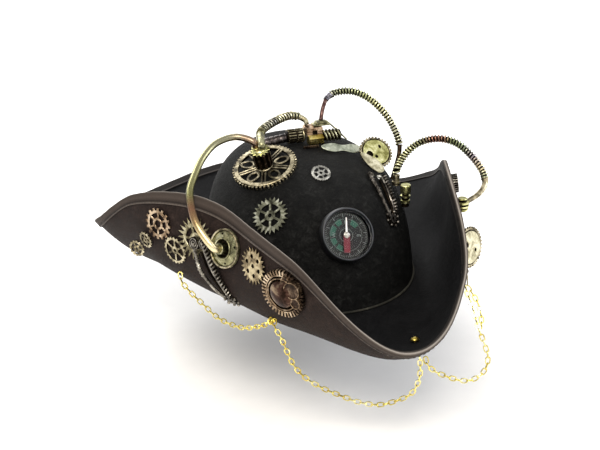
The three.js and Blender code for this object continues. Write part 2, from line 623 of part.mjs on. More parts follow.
function hands() {
  for (const hand of HANDS) {
    const { name, finish, on, rails, scrolls, scrollRadius, scrollLift, cluster, clusterRadius } = hand
    const pieces = rails.map((stops) => bar(overSurface(on, stops), RAIL_RADIUS, RAIL_SIDES, 6))
    const wheel = (teeth, radius, lift, [angle, share]) => {
      const outline = toothed({ teeth, tip: radius, root: radius * 0.82 })
      const blank = new THREE.Mesh(gear(outline, [], HAND_THICKNESS))
      const mesh = seat(blank, { on, angle, share, radius, lift })
      mesh.updateMatrix()
      return mesh.geometry.applyMatrix4(mesh.matrix)
    }
    pieces.push(wheel(12, clusterRadius, 0, cluster))
    for (const scroll of scrolls) pieces.push(wheel(8, scrollRadius, scrollLift, scroll))
    add(name, joined(pieces), finish)
  }
}

// Compass: a cup with a ledge for its lens, a dial with the pivot pin, and the needle that swings on it
const COMPASS_PLACE = { on: 'crown', angle: 0.2, share: 0.281, radius: 22 }
const COMPASS_SIDES = 20
const CASE_PROFILE = [[0, 0], [22, 0], [22, 6.4], [20.9, 8.5], [20, 8.5], [20, 5.7], [19, 5.7], [19, 1.5],
  [0, 1.5]]
const DIAL_PROFILE = [[0, 1.8], [18.6, 1.8], [18.6, 2.6], [0.7, 2.6], [0.7, 3.3], [0, 3.3]]
const LENS_PROFILE = [[0, 6], [19.7, 6], [19.7, 7.2], [0, 7.2]]
const NEEDLE_BASE = 3.6
const NEEDLE_THICKNESS = 0.8
const NEEDLE_HALF_LENGTH = 14.5
const NEEDLE_HALF_WIDTH = 2

function compass() {
  const turnedPiece = (profile) => turned(profile, COMPASS_SIDES)
  seat(add('compass_case', turnedPiece(CASE_PROFILE), 'blackPlastic'), COMPASS_PLACE)
  seat(add('compass_dial', turnedPiece(DIAL_PROFILE), 'dialPrint'), COMPASS_PLACE)
  seat(add('compass_lens', turnedPiece(LENS_PROFILE), 'lensPlastic'), COMPASS_PLACE)
  const outline = [[0, -NEEDLE_HALF_LENGTH], [NEEDLE_HALF_WIDTH, 0], [0, NEEDLE_HALF_LENGTH],
    [-NEEDLE_HALF_WIDTH, 0]]
  const needle = gear(outline.map((point) => new THREE.Vector2(...point)), [], NEEDLE_THICKNESS)
  seat(add('compass_needle', needle, 'needlePaint'), { ...COMPASS_PLACE, lift: NEEDLE_BASE })
}

// On the flap over the wearer's left ear: a ribbed knob, a toothed disc and the loop that carries a chain
const KNOB = { teeth: 12, tip: 8, root: 7, land: 0.4 }
const KNOB_PLACE = { on: 'brimOutside', angle: 71, share: 0.9, radius: 8, lift: 1.6 }
const SIDE_DISC_RIM = { teeth: 30, tip: 16.5, root: 15.2 }
const SIDE_DISC_PLACE = { at: [102.2, -94.1, 38.4], facing: [0.65, -0.74, 0.17] }
const LOOP_PLACE = { on: 'brimOutside', angle: 31, share: 0.895, radius: 3.4 }
const LOOP_LENGTH = 13

function leftFlap() {
  seat(add('ribbed_knob', gear(toothed(KNOB), [circle(3, 8)], 7), 'bronze'), KNOB_PLACE)
  const holes = [circle(1.5, 6).map((point) => point.add(new THREE.Vector2(9, 0)))]
  stand(add('side_disc', gear(toothed(SIDE_DISC_RIM), holes, 2), 'gold'), SIDE_DISC_PLACE)
  const hub = turned([[0, 0], [3.4, 0], [3.4, 4], [0, 4]], 10)
  const eye = (radius) => circle(radius, 12)
    .map((point) => new THREE.Vector2(point.x, point.y * LOOP_LENGTH / 6 - 7))
  const loop = gear(eye(3), [eye(1.9)], 1.4).rotateX(radians(-17)).translate(0, 0, 1.3)
  seat(add('chain_loop', joined([hub, loop]), 'silver'), LOOP_PLACE)
}

// The rivet that goes through the brim at the front and holds the chains in its eye
const RIVET_PLACE = { on: 'brimInside', angle: 10.5, share: 0.57, radius: 4, lift: 1.4 }
const RIVET_SHANK = 1.3
const RIVET_SHANK_LENGTH = 7
const RIVET_HEAD = [[0, 0], [3.6, 0], [3, 1.6], [1.6, 2.6], [0, 2.9]]
const SHANK_HOLE = RIVET_SHANK + GAP

function rivetAndBrim() {
  const rivet = seat(new THREE.Mesh(), RIVET_PLACE)
  rivet.updateMatrix()
  const shankEnd = -RIVET_SHANK_LENGTH
  const shank = turned([[0, shankEnd], [RIVET_SHANK, shankEnd], [RIVET_SHANK, 0.5], [0, 0.5]], 8)
  const torus = new THREE.TorusGeometry(2.4, 0.7, 6, 10)
  const ring = closed(torus.translate(0, -RIVET_SHANK_LENGTH - 2, 0).rotateX(Math.PI / 2))
  add('front_rivet', joined([turned(RIVET_HEAD, 12), shank, ring]).applyMatrix4(rivet.matrix), 'gold')
  const drill = turned([[0, -8], [SHANK_HOLE, -8], [SHANK_HOLE, 8], [0, 8]], 8).applyMatrix4(rivet.matrix)
  add('brim', fromSolid(solid(brim()).subtract(solid(drill))), 'brimLeather')
}

// Chains, as round strands of the chain's own thickness
const CHAIN_RADIUS = 2.2
const CHAINS = [
  { name: 'chain_left', steps: 10, route: [
    [-121.4, -34.4, 24.6], [-121.2, -38, 18.4], [-116.4, -44.6, 11.4], [-108.8, -56.4, 3.8], [-102, -69, -2],
    [-96, -80, -3.5], [-88, -94, -2.5], [-80.5, -107.5, 3.5], [-76.3, -116.1, 8.9], [-73.8, -118.3, 12.8]] },
  { name: 'chain_front', steps: 23, route: [
    [-72.1, -124.6, 16.6], [-72.5, -126, 11], [-68.5, -127, 3], [-63, -128.5, -12], [-58, -130.5, -24],
    [-49, -133, -35], [-37, -137.5, -43.5], [-23, -142.5, -50.5], [-10, -147, -56], [5, -152, -58.5],
    [18, -157, -54.5], [28, -160, -49], [33, -162.4, -38], [33.9, -163.4, -27], [33, -163.2, -14]] },
  { name: 'chain_right', steps: 17, route: [
    [38.1, -163.6, -16.6], [38.3, -165.6, -21], [43, -167, -27], [54, -171, -33], [68, -175, -37],
    [78, -175, -35.5], [85, -173, -31], [88.5, -170, -23], [87.5, -164, -12.5], [85.5, -158, -3.5],
    [85, -151.4, 5], [84.8, -142.8, 14], [84, -137.6, 18.9], [83.5, -134.4, 25]] },
]

function chains() {
  for (const { name, steps, route } of CHAINS) add(name, bar(route, CHAIN_RADIUS, 8, steps), 'gold')
}

add('crown', crown(), 'crownLeather')
rivetAndBrim()
add('brim_binding', binding(), 'bindingLeather')
wheels()
tubeAndSpool()
valve()
hoses()
topOrnaments()
hands()
compass()
leftFlap()
chains()

export default hat
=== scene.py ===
# %% [markdown]
# # A leather tricorn with clockwork on it
# The hat was first built as plain solids, in millimetres. This lesson loads those solids as a fixed
# frame and dresses them: fine leather, stamped gears, wound hoses, a compass and real chain links.
# Every new piece is made where its solid lies, in metres, with +Z up and the wearer facing -Y.

# %% Load the frame
import math

import bmesh
import bpy
import numpy as np
from mathutils import Matrix, Vector


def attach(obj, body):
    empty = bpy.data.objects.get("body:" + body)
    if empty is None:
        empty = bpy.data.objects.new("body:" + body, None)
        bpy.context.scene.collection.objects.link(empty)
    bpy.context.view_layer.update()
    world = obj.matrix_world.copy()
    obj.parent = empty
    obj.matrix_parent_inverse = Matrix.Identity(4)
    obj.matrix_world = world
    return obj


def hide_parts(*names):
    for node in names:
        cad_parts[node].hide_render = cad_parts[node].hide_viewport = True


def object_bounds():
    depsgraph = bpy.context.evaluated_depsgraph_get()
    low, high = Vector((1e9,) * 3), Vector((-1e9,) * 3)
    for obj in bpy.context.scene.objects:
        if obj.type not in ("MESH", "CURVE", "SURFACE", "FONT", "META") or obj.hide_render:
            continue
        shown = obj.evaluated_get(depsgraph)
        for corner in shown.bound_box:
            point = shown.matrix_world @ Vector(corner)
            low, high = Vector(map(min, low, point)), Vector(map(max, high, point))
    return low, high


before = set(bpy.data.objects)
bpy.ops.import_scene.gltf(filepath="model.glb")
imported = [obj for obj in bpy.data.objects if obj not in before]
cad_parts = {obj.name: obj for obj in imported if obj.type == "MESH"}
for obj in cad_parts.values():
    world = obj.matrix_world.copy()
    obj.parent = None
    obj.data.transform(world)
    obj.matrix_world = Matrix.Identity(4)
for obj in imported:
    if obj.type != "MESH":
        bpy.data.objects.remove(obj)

MM = 0.001
HAT_MIDDLE = Vector((0, 0, 30 * MM))
cad_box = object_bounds()
print("The frame has", len(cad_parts), "nodes")

# %% [markdown]
# ## Camera
# The photograph looks down at the hat's front from the wearer's right, with a long lens. The camera
# could be turned by hand until it looks right. Here its direction and distance were worked out from
# the pieces' places in the picture, and a small shift puts the hat where the photograph has it.

# %% Camera
CAMERA_BACK = Vector((-0.309, -0.8585, 0.409)).normalized()
CAMERA_DISTANCE, PICTURE_WIDTH = 1.4, 600
camera_data = bpy.data.cameras.new("camera")
camera_data.lens = 99.0
camera_data.sensor_width = 36
camera_data.shift_x = -7.9 / PICTURE_WIDTH
camera_data.shift_y = 38.1 / PICTURE_WIDTH
camera = bpy.data.objects.new("camera", camera_data)
camera.location = CAMERA_DISTANCE * CAMERA_BACK
camera.rotation_euler = CAMERA_BACK.to_track_quat("Z", "Y").to_euler()
bpy.context.collection.objects.link(camera)
bpy.context.scene.camera = camera
print("The camera stands at", [round(value, 3) for value in camera.location])

# %% [markdown]
# ## Studio
# The hat was photographed on white under large soft lights. A pale floor lies just under the lowest
# chain, and three soft boxes give the metal something bright to reflect: a large one over the front,
# a cooler one at the wearer's left and one behind that lights the edges.

# %% Floor and lights
def linear(hex_colour):
    """Turns an sRGB colour such as #6b605a into linear red, green, blue and alpha."""
    parts = [int(hex_colour[place:place + 2], 16) / 255 for place in (1, 3, 5)]
    return [part / 12.92 if part <= 0.04045 else ((part + 0.055) / 1.055) ** 2.4 for part in parts] + [1]


def soft_box(name, place, size, power, colour):
    light = bpy.data.lights.new(name, "AREA")
    light.shape = "RECTANGLE"
    light.size, light.size_y = size
    light.energy = power
    light.color = linear(colour)[:3]
    lamp = bpy.data.objects.new(name, light)
    lamp.location = place
    lamp.rotation_euler = Vector(place).to_track_quat("Z", "Y").to_euler()
    bpy.context.collection.objects.link(lamp)


soft_box("front_soft_box", (-0.55, -1.0, 1.25), (1.1, 0.8), 26, "#fff8ee")
soft_box("side_soft_box", (1.3, -0.5, 0.7), (0.7, 1.0), 12, "#f2f6ff")
soft_box("back_soft_box", (-0.3, 1.3, 1.0), (1.4, 0.6), 20, "#ffffff")

ROOM_BRIGHTNESS = 0.85
world = bpy.data.worlds.new("white_room")
world.use_nodes = True
room = world.node_tree.nodes["Background"]
room.inputs["Color"].default_value = linear("#ffffff")
room.inputs["Strength"].default_value = ROOM_BRIGHTNESS
bpy.context.scene.world = world
bpy.context.scene.view_settings.view_transform = "Standard"

FLOOR_DROP, FLOOR_WIDTH = 25 * MM, 8
floor_shape = bmesh.new()
bmesh.ops.create_grid(floor_shape, x_segments=1, y_segments=1, size=FLOOR_WIDTH / 2)
floor_height = cad_box[0].z - FLOOR_DROP
bmesh.ops.translate(floor_shape, verts=floor_shape.verts, vec=(0, 0, floor_height))
floor_mesh = bpy.data.meshes.new("floor")
floor_shape.to_mesh(floor_mesh)
floor_shape.free()
floor = bpy.data.objects.new("floor", floor_mesh)
bpy.context.collection.objects.link(floor)
print("The floor lies at", round(floor_height, 4), "m")

# %% [markdown]
# ## Materials
# Each material is a small set of nodes. One function adds a node with its settings and its links, so
# that a material reads as a list of what it is made of. Patterns use Object coordinates multiplied by
# 1000, so their scale is one over a size in millimetres.

# %% How a node is added
def add_node(material, kind, settings=None, links=None, stops=None):
    """Adds a node. A setting names a socket or a property, a link names a socket and its source."""
    node = material.node_tree.nodes.new(kind)
    for key, value in (settings or {}).items():
        if isinstance(key, int) or key in node.inputs:
            node.inputs[key].default_value = value
        else:
            setattr(node, key, value)
    for key, source in (links or {}).items():
        material.node_tree.links.new(source, node.inputs[key])
    if stops:
        band = node.color_ramp
        while len(band.elements) < len(stops):
            band.elements.new(0.5)
        for element, (place, colour) in zip(band.elements, stops):
            element.position = place
            element.color = linear(colour)
    return node


def start_material(name, colour, roughness, metallic=0.0):
    """A new material with its shader, and the point of the surface in millimetres."""
    material = bpy.data.materials.new(name)
    material.use_nodes = True
    material.node_tree.nodes.clear()
    shader = add_node(material, "ShaderNodeBsdfPrincipled",
                      {"Base Color": linear(colour), "Roughness": roughness, "Metallic": metallic})
    add_node(material, "ShaderNodeOutputMaterial", links={"Surface": shader.outputs["BSDF"]})
    place = add_node(material, "ShaderNodeTexCoord")
    millimetres = add_node(material, "ShaderNodeMapping", {"Scale": (1000, 1000, 1000)},
                           {"Vector": place.outputs["Object"]})
    return material, shader, millimetres.outputs["Vector"]


def plug(material, source, socket):
    material.node_tree.links.new(source, socket)


floor_paint, floor_shader, floor_point = start_material("matt_white_paint", "#f4f3f1", 0.6)
floor_grain = add_node(floor_paint, "ShaderNodeTexNoise", {"Scale": 0.05, "Detail": 2.0},
                       {"Vector": floor_point})
floor_colour = add_node(floor_paint, "ShaderNodeValToRGB", links={"Fac": floor_grain.outputs["Fac"]},
                        stops=[(0.3, "#f3f2f0"), (0.7, "#f6f5f3")])
plug(floor_paint, floor_colour.outputs["Color"], floor_shader.inputs["Base Color"])
floor.data.materials.append(floor_paint)
print("The floor is painted")

# %% [markdown]
# ### Leather
# The crown is dark grained leather with a crackled, slightly suede-like face. The brim's outside is a
# warmer brown-grey with a finer grain, its inside is smooth and nearly black, and the binding is worn
# pale along its edges and carries a painted highlight along its fold. Grain is made of Voronoi cells
# about as wide as real pebbled grain, and broad noise varies the colour as handling does. It is drawn a
# little coarser than life, so that it shows.

# %% Leather
def leather(name, dark, middle, light, grain, roughness, bump, crackle):
    """Grained leather. grain is the width of a pebble in mm, bump and crackle are depths in mm."""
    material, shader, point = start_material(name, middle, roughness)
    wander = add_node(material, "ShaderNodeTexNoise", {"Scale": 1 / 14, "Detail": 5.0, "Roughness": 0.62},
                      {"Vector": point})
    pebbles = add_node(material, "ShaderNodeTexVoronoi",
                       {"feature": "DISTANCE_TO_EDGE", "Scale": 1 / grain}, {"Vector": point})
    creases = add_node(material, "ShaderNodeTexNoise",
                       {"Scale": 1 / (3.5 * grain), "Detail": 6.0, "Roughness": 0.7, "Distortion": 1.2},
                       {"Vector": point})
    both = add_node(material, "ShaderNodeMix", {"data_type": "FLOAT", 0: 0.7},
                    {2: wander.outputs["Fac"], 3: creases.outputs["Fac"]})
    colour = add_node(material, "ShaderNodeValToRGB", links={"Fac": both.outputs[0]},
                      stops=[(0.38, dark), (0.52, middle), (0.66, light)])
    plug(material, colour.outputs["Color"], shader.inputs["Base Color"])
    polish = add_node(material, "ShaderNodeMapRange",
                      {"From Min": 0.3, "From Max": 0.7, "To Min": roughness - 0.1,
                       "To Max": roughness + 0.12}, {"Value": creases.outputs["Fac"]})
    plug(material, polish.outputs["Result"], shader.inputs["Roughness"])
    pebble_bump = add_node(material, "ShaderNodeBump", {"Strength": 0.8, "Distance": bump * MM},
                           {"Height": pebbles.outputs["Distance"]})
    crease_bump = add_node(material, "ShaderNodeBump", {"Strength": 0.9, "Distance": crackle * MM},
                           {"Height": creases.outputs["Fac"], "Normal": pebble_bump.outputs["Normal"]})
    plug(material, crease_bump.outputs["Normal"], shader.inputs["Normal"])
    shader.inputs["Specular IOR Level"].default_value = 0.07
    return material


crown_leather = leather("crackled_crown_leather", "#090909", "#131312", "#272726", 1.3, 0.64, 0.9, 2.6)
brim_leather = leather("brown_brim_leather", "#191311", "#241c19", "#332925", 1.1, 0.64, 0.3, 0.8)
brim_lining = leather("smooth_black_leather", "#070708", "#0f0f10", "#19191a", 1.2, 0.72, 0.16, 0.9)
binding_leather = leather("worn_and_highlit_binding_leather", "#3a332f", "#4b433e", "#5e554f", 0.9, 0.6, 0.25, 0.6)
print("Four leathers are mixed")

# %% [markdown]
# ### Metals
# The trimmings are stamped and cast in cheap brass, copper and plated zinc. Their hollows and steep walls
# are given a nearly black painted shade, so only the high faces shine. A patina could be painted on. Here
# broad noise picks between a bright and a dull tone of the metal, and fine noise scuffs the polish. Metals
# keep the shader's usual IOR, and their colour is what they reflect.

# %% Metals
def metal(name, dull, middle, bright, roughness, blotch=7.0, scuff=0.04):
    """Patinated metal. blotch is the width of a tarnish patch in mm, scuff a depth in mm."""
    material, shader, point = start_material(name, middle, roughness, 1.0)
    patches = add_node(material, "ShaderNodeTexNoise",
                       {"Scale": 1 / blotch, "Detail": 4.0, "Roughness": 0.65, "Distortion": 0.6},
                       {"Vector": point})
    colour = add_node(material, "ShaderNodeValToRGB", links={"Fac": patches.outputs["Fac"]},
                      stops=[(0.36, dull), (0.5, middle), (0.64, bright)])
    plug(material, colour.outputs["Color"], shader.inputs["Base Color"])
    specks = add_node(material, "ShaderNodeTexNoise", {"Scale": 1.6, "Detail": 3.0}, {"Vector": point})
    polish = add_node(material, "ShaderNodeMapRange",
                      {"From Min": 0.35, "From Max": 0.65, "To Min": roughness - 0.08,
                       "To Max": roughness + 0.12}, {"Value": specks.outputs["Fac"]})
    plug(material, polish.outputs["Result"], shader.inputs["Roughness"])
    scuffs = add_node(material, "ShaderNodeBump", {"Strength": 0.5, "Distance": scuff * MM},
                      {"Height": specks.outputs["Fac"]})
    plug(material, scuffs.outputs["Normal"], shader.inputs["Normal"])
    return material


metals = {
    "pale_brass": metal("stamped_pale_brass", "#3f392c", "#8d8369", "#cbc1a5", 0.36),
    "brass": metal("antiqued_brass", "#373123", "#837b60", "#c9c1a2", 0.36),
    "gold_brass": metal("polished_yellow_brass", "#8f7a34", "#cdb765", "#efe3a2", 0.26, 12.0, 0.02),
    "copper": metal("dulled_copper", "#1f140e", "#46322a", "#86745f", 0.33, 12.0),
    "bronze": metal("dark_patinated_bronze", "#1d1712", "#392d25", "#6b5a4a", 0.4),
    "silvered_metal": metal("tarnished_silver_plate", "#6b6963", "#a5a39b", "#dedcd2", 0.32),
    "olive_brass": metal("olive_brass", "#4c4a38", "#8b8866", "#c4c19f", 0.34),
    "lime_brass": metal("lime_tinted_brass", "#807d48", "#b9b67a", "#e6e3b2", 0.32),
}
# Painted shade: a nearly black metal for hollows, steep walls, grooves and gaps, where shade falls.
painted_shade_metal = metal("painted_shade_in_the_hollows", "#0d0a07", "#18130e", "#282016", 0.55)
print(len(metals) + 1, "metals are mixed")

# %% [markdown]
# ### Plastic, print and paint
# The compass is a cheap moulded one: satin black case, printed dial, clear window and a painted
# needle with one white and one red half.

# %% Plastics and paints
def moulded(name, colour, roughness, speckle=0.02):
    """Injection-moulded plastic or sprayed paint: even, with the faintest orange peel."""
    material, shader, point = start_material(name, colour, roughness)
    peel = add_node(material, "ShaderNodeTexNoise", {"Scale": 1.2, "Detail": 2.0}, {"Vector": point})
    bump = add_node(material, "ShaderNodeBump", {"Strength": 0.3, "Distance": speckle * MM},
                    {"Height": peel.outputs["Fac"]})
    plug(material, bump.outputs["Normal"], shader.inputs["Normal"])
    return material


case_plastic = moulded("black_abs", "#08090a", 0.42)
dial_card = moulded("printed_black_dial", "#050606", 0.7)
tick_ink = moulded("pale_dial_ink", "#6d7371", 0.6)
green_ink = moulded("green_glow_ink", "#124c3b", 0.55)
white_paint = moulded("white_needle_paint", "#f4f1ec", 0.4)
red_paint = moulded("red_needle_paint", "#5e0f1e", 0.4)
thread = moulded("waxed_brown_thread", "#2a211d", 0.6, 0.05)
lens_plastic, lens_shader, _ = start_material("clear_acrylic", "#ffffff", 0.08)
lens_shader.inputs["Transmission Weight"].default_value = 1.0
lens_shader.inputs["IOR"].default_value = 1.1
print("The plastics are mixed")

# %% [markdown]
# ## Making and placing pieces
# A piece is drawn as a bmesh, made into an object at the origin and attached to the body that it moves
# with, and the solids that it stands for are hidden. Hard edges are marked by their angle, so that flat
# faces stay flat and round ones look round.

# %% How a piece is finished
def make_piece(name, shape, materials, replaces=(), body="hat", crease=35):
    """Turns a bmesh into a finished piece that rides on a body."""
    for edge in shape.edges:
        edge.smooth = edge.is_manifold and edge.calc_face_angle(0) < math.radians(crease)
    for face in shape.faces:
        face.smooth = True
    mesh = bpy.data.meshes.new(name)
    shape.to_mesh(mesh)
    shape.free()
    for material in materials:
        mesh.materials.append(material)
    piece = bpy.data.objects.new(name, mesh)
    bpy.context.collection.objects.link(piece)
    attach(piece, body)
    if replaces:
        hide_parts(*replaces)
    print(name, "has", len(mesh.polygons), "faces")
    return piece


def laid_grid(shape, columns, rows, place):
    """Adds a grid to a bmesh and lays each corner where place(u, v) says, with u and v from 0 to 1."""
    made = bmesh.ops.create_grid(shape, x_segments=columns, y_segments=rows, size=0.5)["verts"]
    weave = shape.loops.layers.uv.verify()
    spots = {vertex: (vertex.co.x + 0.5, vertex.co.y + 0.5) for vertex in made}
    faces = {face for vertex in made for face in vertex.link_faces}
    for face in faces:
        for loop in face.loops:
            loop[weave].uv = spots[loop.vert]
    for vertex, (u, v) in spots.items():
        vertex.co = place(u, v)
    bmesh.ops.remove_doubles(shape, verts=made, dist=1e-6)
    faces = [face for face in faces if face.is_valid]
    bmesh.ops.recalc_face_normals(shape, faces=faces)
    return faces


# %% [markdown]
# ## The brim's own curve
# Brim and crown are one pattern cut in leather and moulded wet over a block. The curve is a short
# table: at each angle round the head it says how far the edge reaches, how high it rises, and where
# the leather turns up. Smooth curves join the rows. A grid laid on these curves is the leather.

# %% Curves of the leather
HEAD_HALF_WIDTH, HEAD_HALF_LENGTH, LEATHER, GAP = 84, 101, 2, 0.3
CROWN_HEIGHT, CROWN_FULLNESS, CROWN_TAPER, CROWN_SET_BACK = 102, 3.1, 0.07, 16
# angle, reach, rise, knee, lift
BRIM_SECTIONS = [
    (-180, 203, 19, 32, -8), (-157, 205, 8, 34, -11), (-138, 197, 10, 40, -15), (-124, 186, 22, 47, -17),
    (-110, 175, 40, 56, -7), (-92, 147, 79, 67, 11), (-70, 121, 92, 57, 14), (-48, 118, 85, 58, 15),
    (-24, 164, 74, 73, -2), (0, 210, 15, 67, -20), (24, 173, 39, 54, -18), (48, 125, 87, 45, -13),
    (70, 113, 91, 44, -11), (92, 127, 70, 52, -16), (110, 156, 54, 52, -16), (124, 193, 22, 46, -12),
    (138, 201, 2, 40, -9), (157, 206, 6, 35, -8)]


def eased(here, leave, there, arrive, share):
    """A value part of the way from here to there, for the slopes that it leaves and arrives with."""
    return (here * (2 * share ** 3 - 3 * share ** 2 + 1) + leave * (share ** 3 - 2 * share ** 2 + share)
            + there * (3 * share ** 2 - 2 * share ** 3) + arrive * (share ** 3 - share ** 2))


def way_out(angle):
    """The level way out from the head at an angle in degrees, 0 at the front."""
    return Vector((math.sin(math.radians(angle)), -math.cos(math.radians(angle)), 0))


def section_at(angle):
    """Reach, rise, knee and lift at any angle, joined smoothly through the rows."""
    turn = (angle + 180) % 360
    count = len(BRIM_SECTIONS)
    rows = [BRIM_SECTIONS[row % count] for row in range(-1, count + 2)]
    places = [rows[row][0] + 180 + 360 * ((row - 1) // count) for row in range(count + 3)]
    row = max(place for place in range(1, count + 1) if places[place] <= turn)
    before, start, end, after = places[row - 1:row + 3]
    share = (turn - start) / (end - start)
    values = []
    for column in range(1, 5):
        ahead, here, there, beyond = [rows[row + step][column] for step in (-1, 0, 1, 2)]
        slope_here = (there - ahead) / (end - before) * (end - start)
        slope_there = (beyond - here) / (after - start) * (end - start)
        values.append(eased(here, slope_here, there, slope_there, share))
    return values


def brim_point(angle, share, side, beyond=0.0):
    """A point of the brim, from the opening at share 0 to the edge at 1, side mm off its middle."""
    reach, rise, knee, lift = section_at(angle)
    way = way_out(angle)
    root = 1 / math.hypot(way.x / HEAD_HALF_WIDTH, way.y / HEAD_HALF_LENGTH)
    turn = root + LEATHER + knee
    out = root * (1 - share) ** 2 + 2 * share * (1 - share) * turn + share ** 2 * reach
    up = 2 * share * (1 - share) * lift + share ** 2 * rise
    along = Vector((2 * (1 - share) * (turn - root) + 2 * share * (reach - turn),
                    2 * (1 - share) * lift + 2 * share * (rise - lift))).normalized()
    point = way * (out - along.y * side + along.x * beyond)
    point.z = up + along.x * side + along.y * beyond
    return point * MM


def crown_point(angle, climb, inset=0.0):
    """A point of the crown, from its foot at climb 0 to the top at 1, inset mm below its face."""
    slope = math.radians(90 * climb)
    height = math.sin(slope) ** (2 / CROWN_FULLNESS)
    girth = max(0.0, math.cos(slope)) ** (2 / CROWN_FULLNESS) * (1 - CROWN_TAPER * height)
    way = way_out(angle)
    radius = 1 / math.hypot(way.x / (HEAD_HALF_WIDTH + LEATHER - inset),
                            way.y / (HEAD_HALF_LENGTH + LEATHER - inset))
    knee, lift = section_at(angle)[2:]
    foot = LEATHER / 2 + 2 * GAP + max(0.0, lift / knee) * LEATHER
    rise = foot + (CROWN_HEIGHT - inset - foot) * height
    return (way * (radius * girth) + Vector((0, CROWN_SET_BACK * height ** 1.5, rise))) * MM


print("The brim's edge rises to", round(max(brim_point(angle, 1, 0).z for angle in range(360)), 4), "m")

# %% [markdown]
# ## Brim
# The brim is one sheet of leather 2 mm thick, brown outside and black inside. It could be a thin sheet
# with Solidify. A closed skin is laid instead: up the outside, over the edge and down the inside, so
# that each side takes its own leather and both share the rim that the binding covers.

# %% Brim
def brim_place(u, v):
    share = 1 - abs(2 * v - 1)
    close = min(v, 1 - v, abs(v - 0.5)) / BRIM_LIP
    side = LEATHER / 2 * min(1.0, close) * (1 if v > 0.5 else -1)
    return brim_point(360 * u, share, side)


BRIM_COLUMNS, BRIM_ROWS = 256, 72
BRIM_LIP = 1 / BRIM_ROWS
brim_shape = bmesh.new()
for face in laid_grid(brim_shape, BRIM_COLUMNS, BRIM_ROWS, brim_place):
    weave = brim_shape.loops.layers.uv.verify()
    heights = [loop[weave].uv.y for loop in face.loops]
    face.material_index = 1 if sum(heights) / len(heights) > 0.5 else 0
make_piece("brim_leather", brim_shape, [brim_leather, brim_lining], ["brim"])

# %% [markdown]
# ## Crown
# The crown is a dome of the same hide, pulled over a block and sewn to the brim. It is a grid laid on
# its outer face, closed at the top, and then given its thickness inwards, so the head hollow stays open.

# %% Crown
crown_shape = bmesh.new()
crown_faces = laid_grid(crown_shape, 160, 48, lambda u, v: crown_point(360 * u, v))
outward = sum(face.normal.dot(face.calc_center_median() - HAT_MIDDLE) for face in crown_faces)
if outward < 0:
    bmesh.ops.reverse_faces(crown_shape, faces=crown_faces)
crown_piece = make_piece("crown_leather", crown_shape, [crown_leather], ["crown"])
thickness = crown_piece.modifiers.new("leather_thickness", "SOLIDIFY")
thickness.thickness = LEATHER * MM
thickness.offset = -1

# %% [markdown]
# A pale line shows where the crown meets the brim. A slim tube of paler leather is laid round the foot
# of the crown, and its pale colour is a painted highlight along that line.

# %% Crown seam
SEAM_RADIUS = 0.9


def seam_place(u, v):
    foot = crown_point(360 * u, 0)
    turn = 2 * math.pi * v
    out, up = 0.6 + SEAM_RADIUS * math.cos(turn), SEAM_RADIUS * math.sin(turn) - 0.4
    return foot + way_out(360 * u) * out * MM + Vector((0, 0, up)) * MM


seam_shape = bmesh.new()
laid_grid(seam_shape, 200, 8, seam_place)
# The seam's paler leather is a painted highlight along the joint.
seam_highlight_leather = leather("pale_seam_highlight_leather", "#22221f", "#31302b", "#47453d", 0.9, 0.5, 0.1, 0.2)
make_piece("crown_seam", seam_shape, [seam_highlight_leather])

# %% [markdown]
# ## Binding
# A strip of softer leather is folded over the brim's edge and stitched through. Its two edges are
# rubbed pale, its fold carries a pale painted highlight, and a darker band lies between. The strip is a
# thin closed section carried round the edge, and its own UV map, which runs across the strip, says where
# it is rubbed and where the highlight is painted.

# %% Binding
BINDING_SHARE, BINDING_THICKNESS = 0.945, 0.9
BINDING_INNER = LEATHER / 2 + GAP
BINDING_OUTER = BINDING_INNER + BINDING_THICKNESS
# The share of the strip's width on each side of its fold that bends, and of the skin that is its face.
BEND, FACE_SHARE = 0.09, 0.48


def strip_point(angle, across, far):
    """A point of the folded strip: across runs 0 to 1 from one edge over the fold to the other."""
    if abs(across - 0.5) < BEND:
        bend = (across - 0.5) / BEND * math.pi / 2
        return brim_point(angle, 1, far * math.sin(bend), GAP + (far - 0.6) * math.cos(bend))
    reach = min(across, 1 - across) / (0.5 - BEND)
    share = BINDING_SHARE + (1 - BINDING_SHARE) * reach
    return brim_point(angle, share, far * (-1 if across < 0.5 else 1), GAP * reach)


def binding_place(u, v):
    ripple = 0.12 * math.sin(2 * math.pi * 61 * u) * math.sin(2 * math.pi * 23 * u + 1)
    if v < 0.5:
        return strip_point(360 * u, min(1.0, v / FACE_SHARE), BINDING_OUTER + ripple)
    return strip_point(360 * u, max(0.0, (0.5 + FACE_SHARE - v) / FACE_SHARE), BINDING_INNER)


binding_shape = bmesh.new()
laid_grid(binding_shape, 360, 50, binding_place)
make_piece("binding_strip", binding_shape, [binding_leather], ["brim_binding"])

# %% [markdown]
# The rubbed edges and the painted highlight on the fold are drawn on the strip's UV map: pale at both edges
# and at the fold, dark between.

# %% Rubbed edges of the binding
def node_of(material, kind):
    return next(node for node in material.node_tree.nodes if node.type == kind)


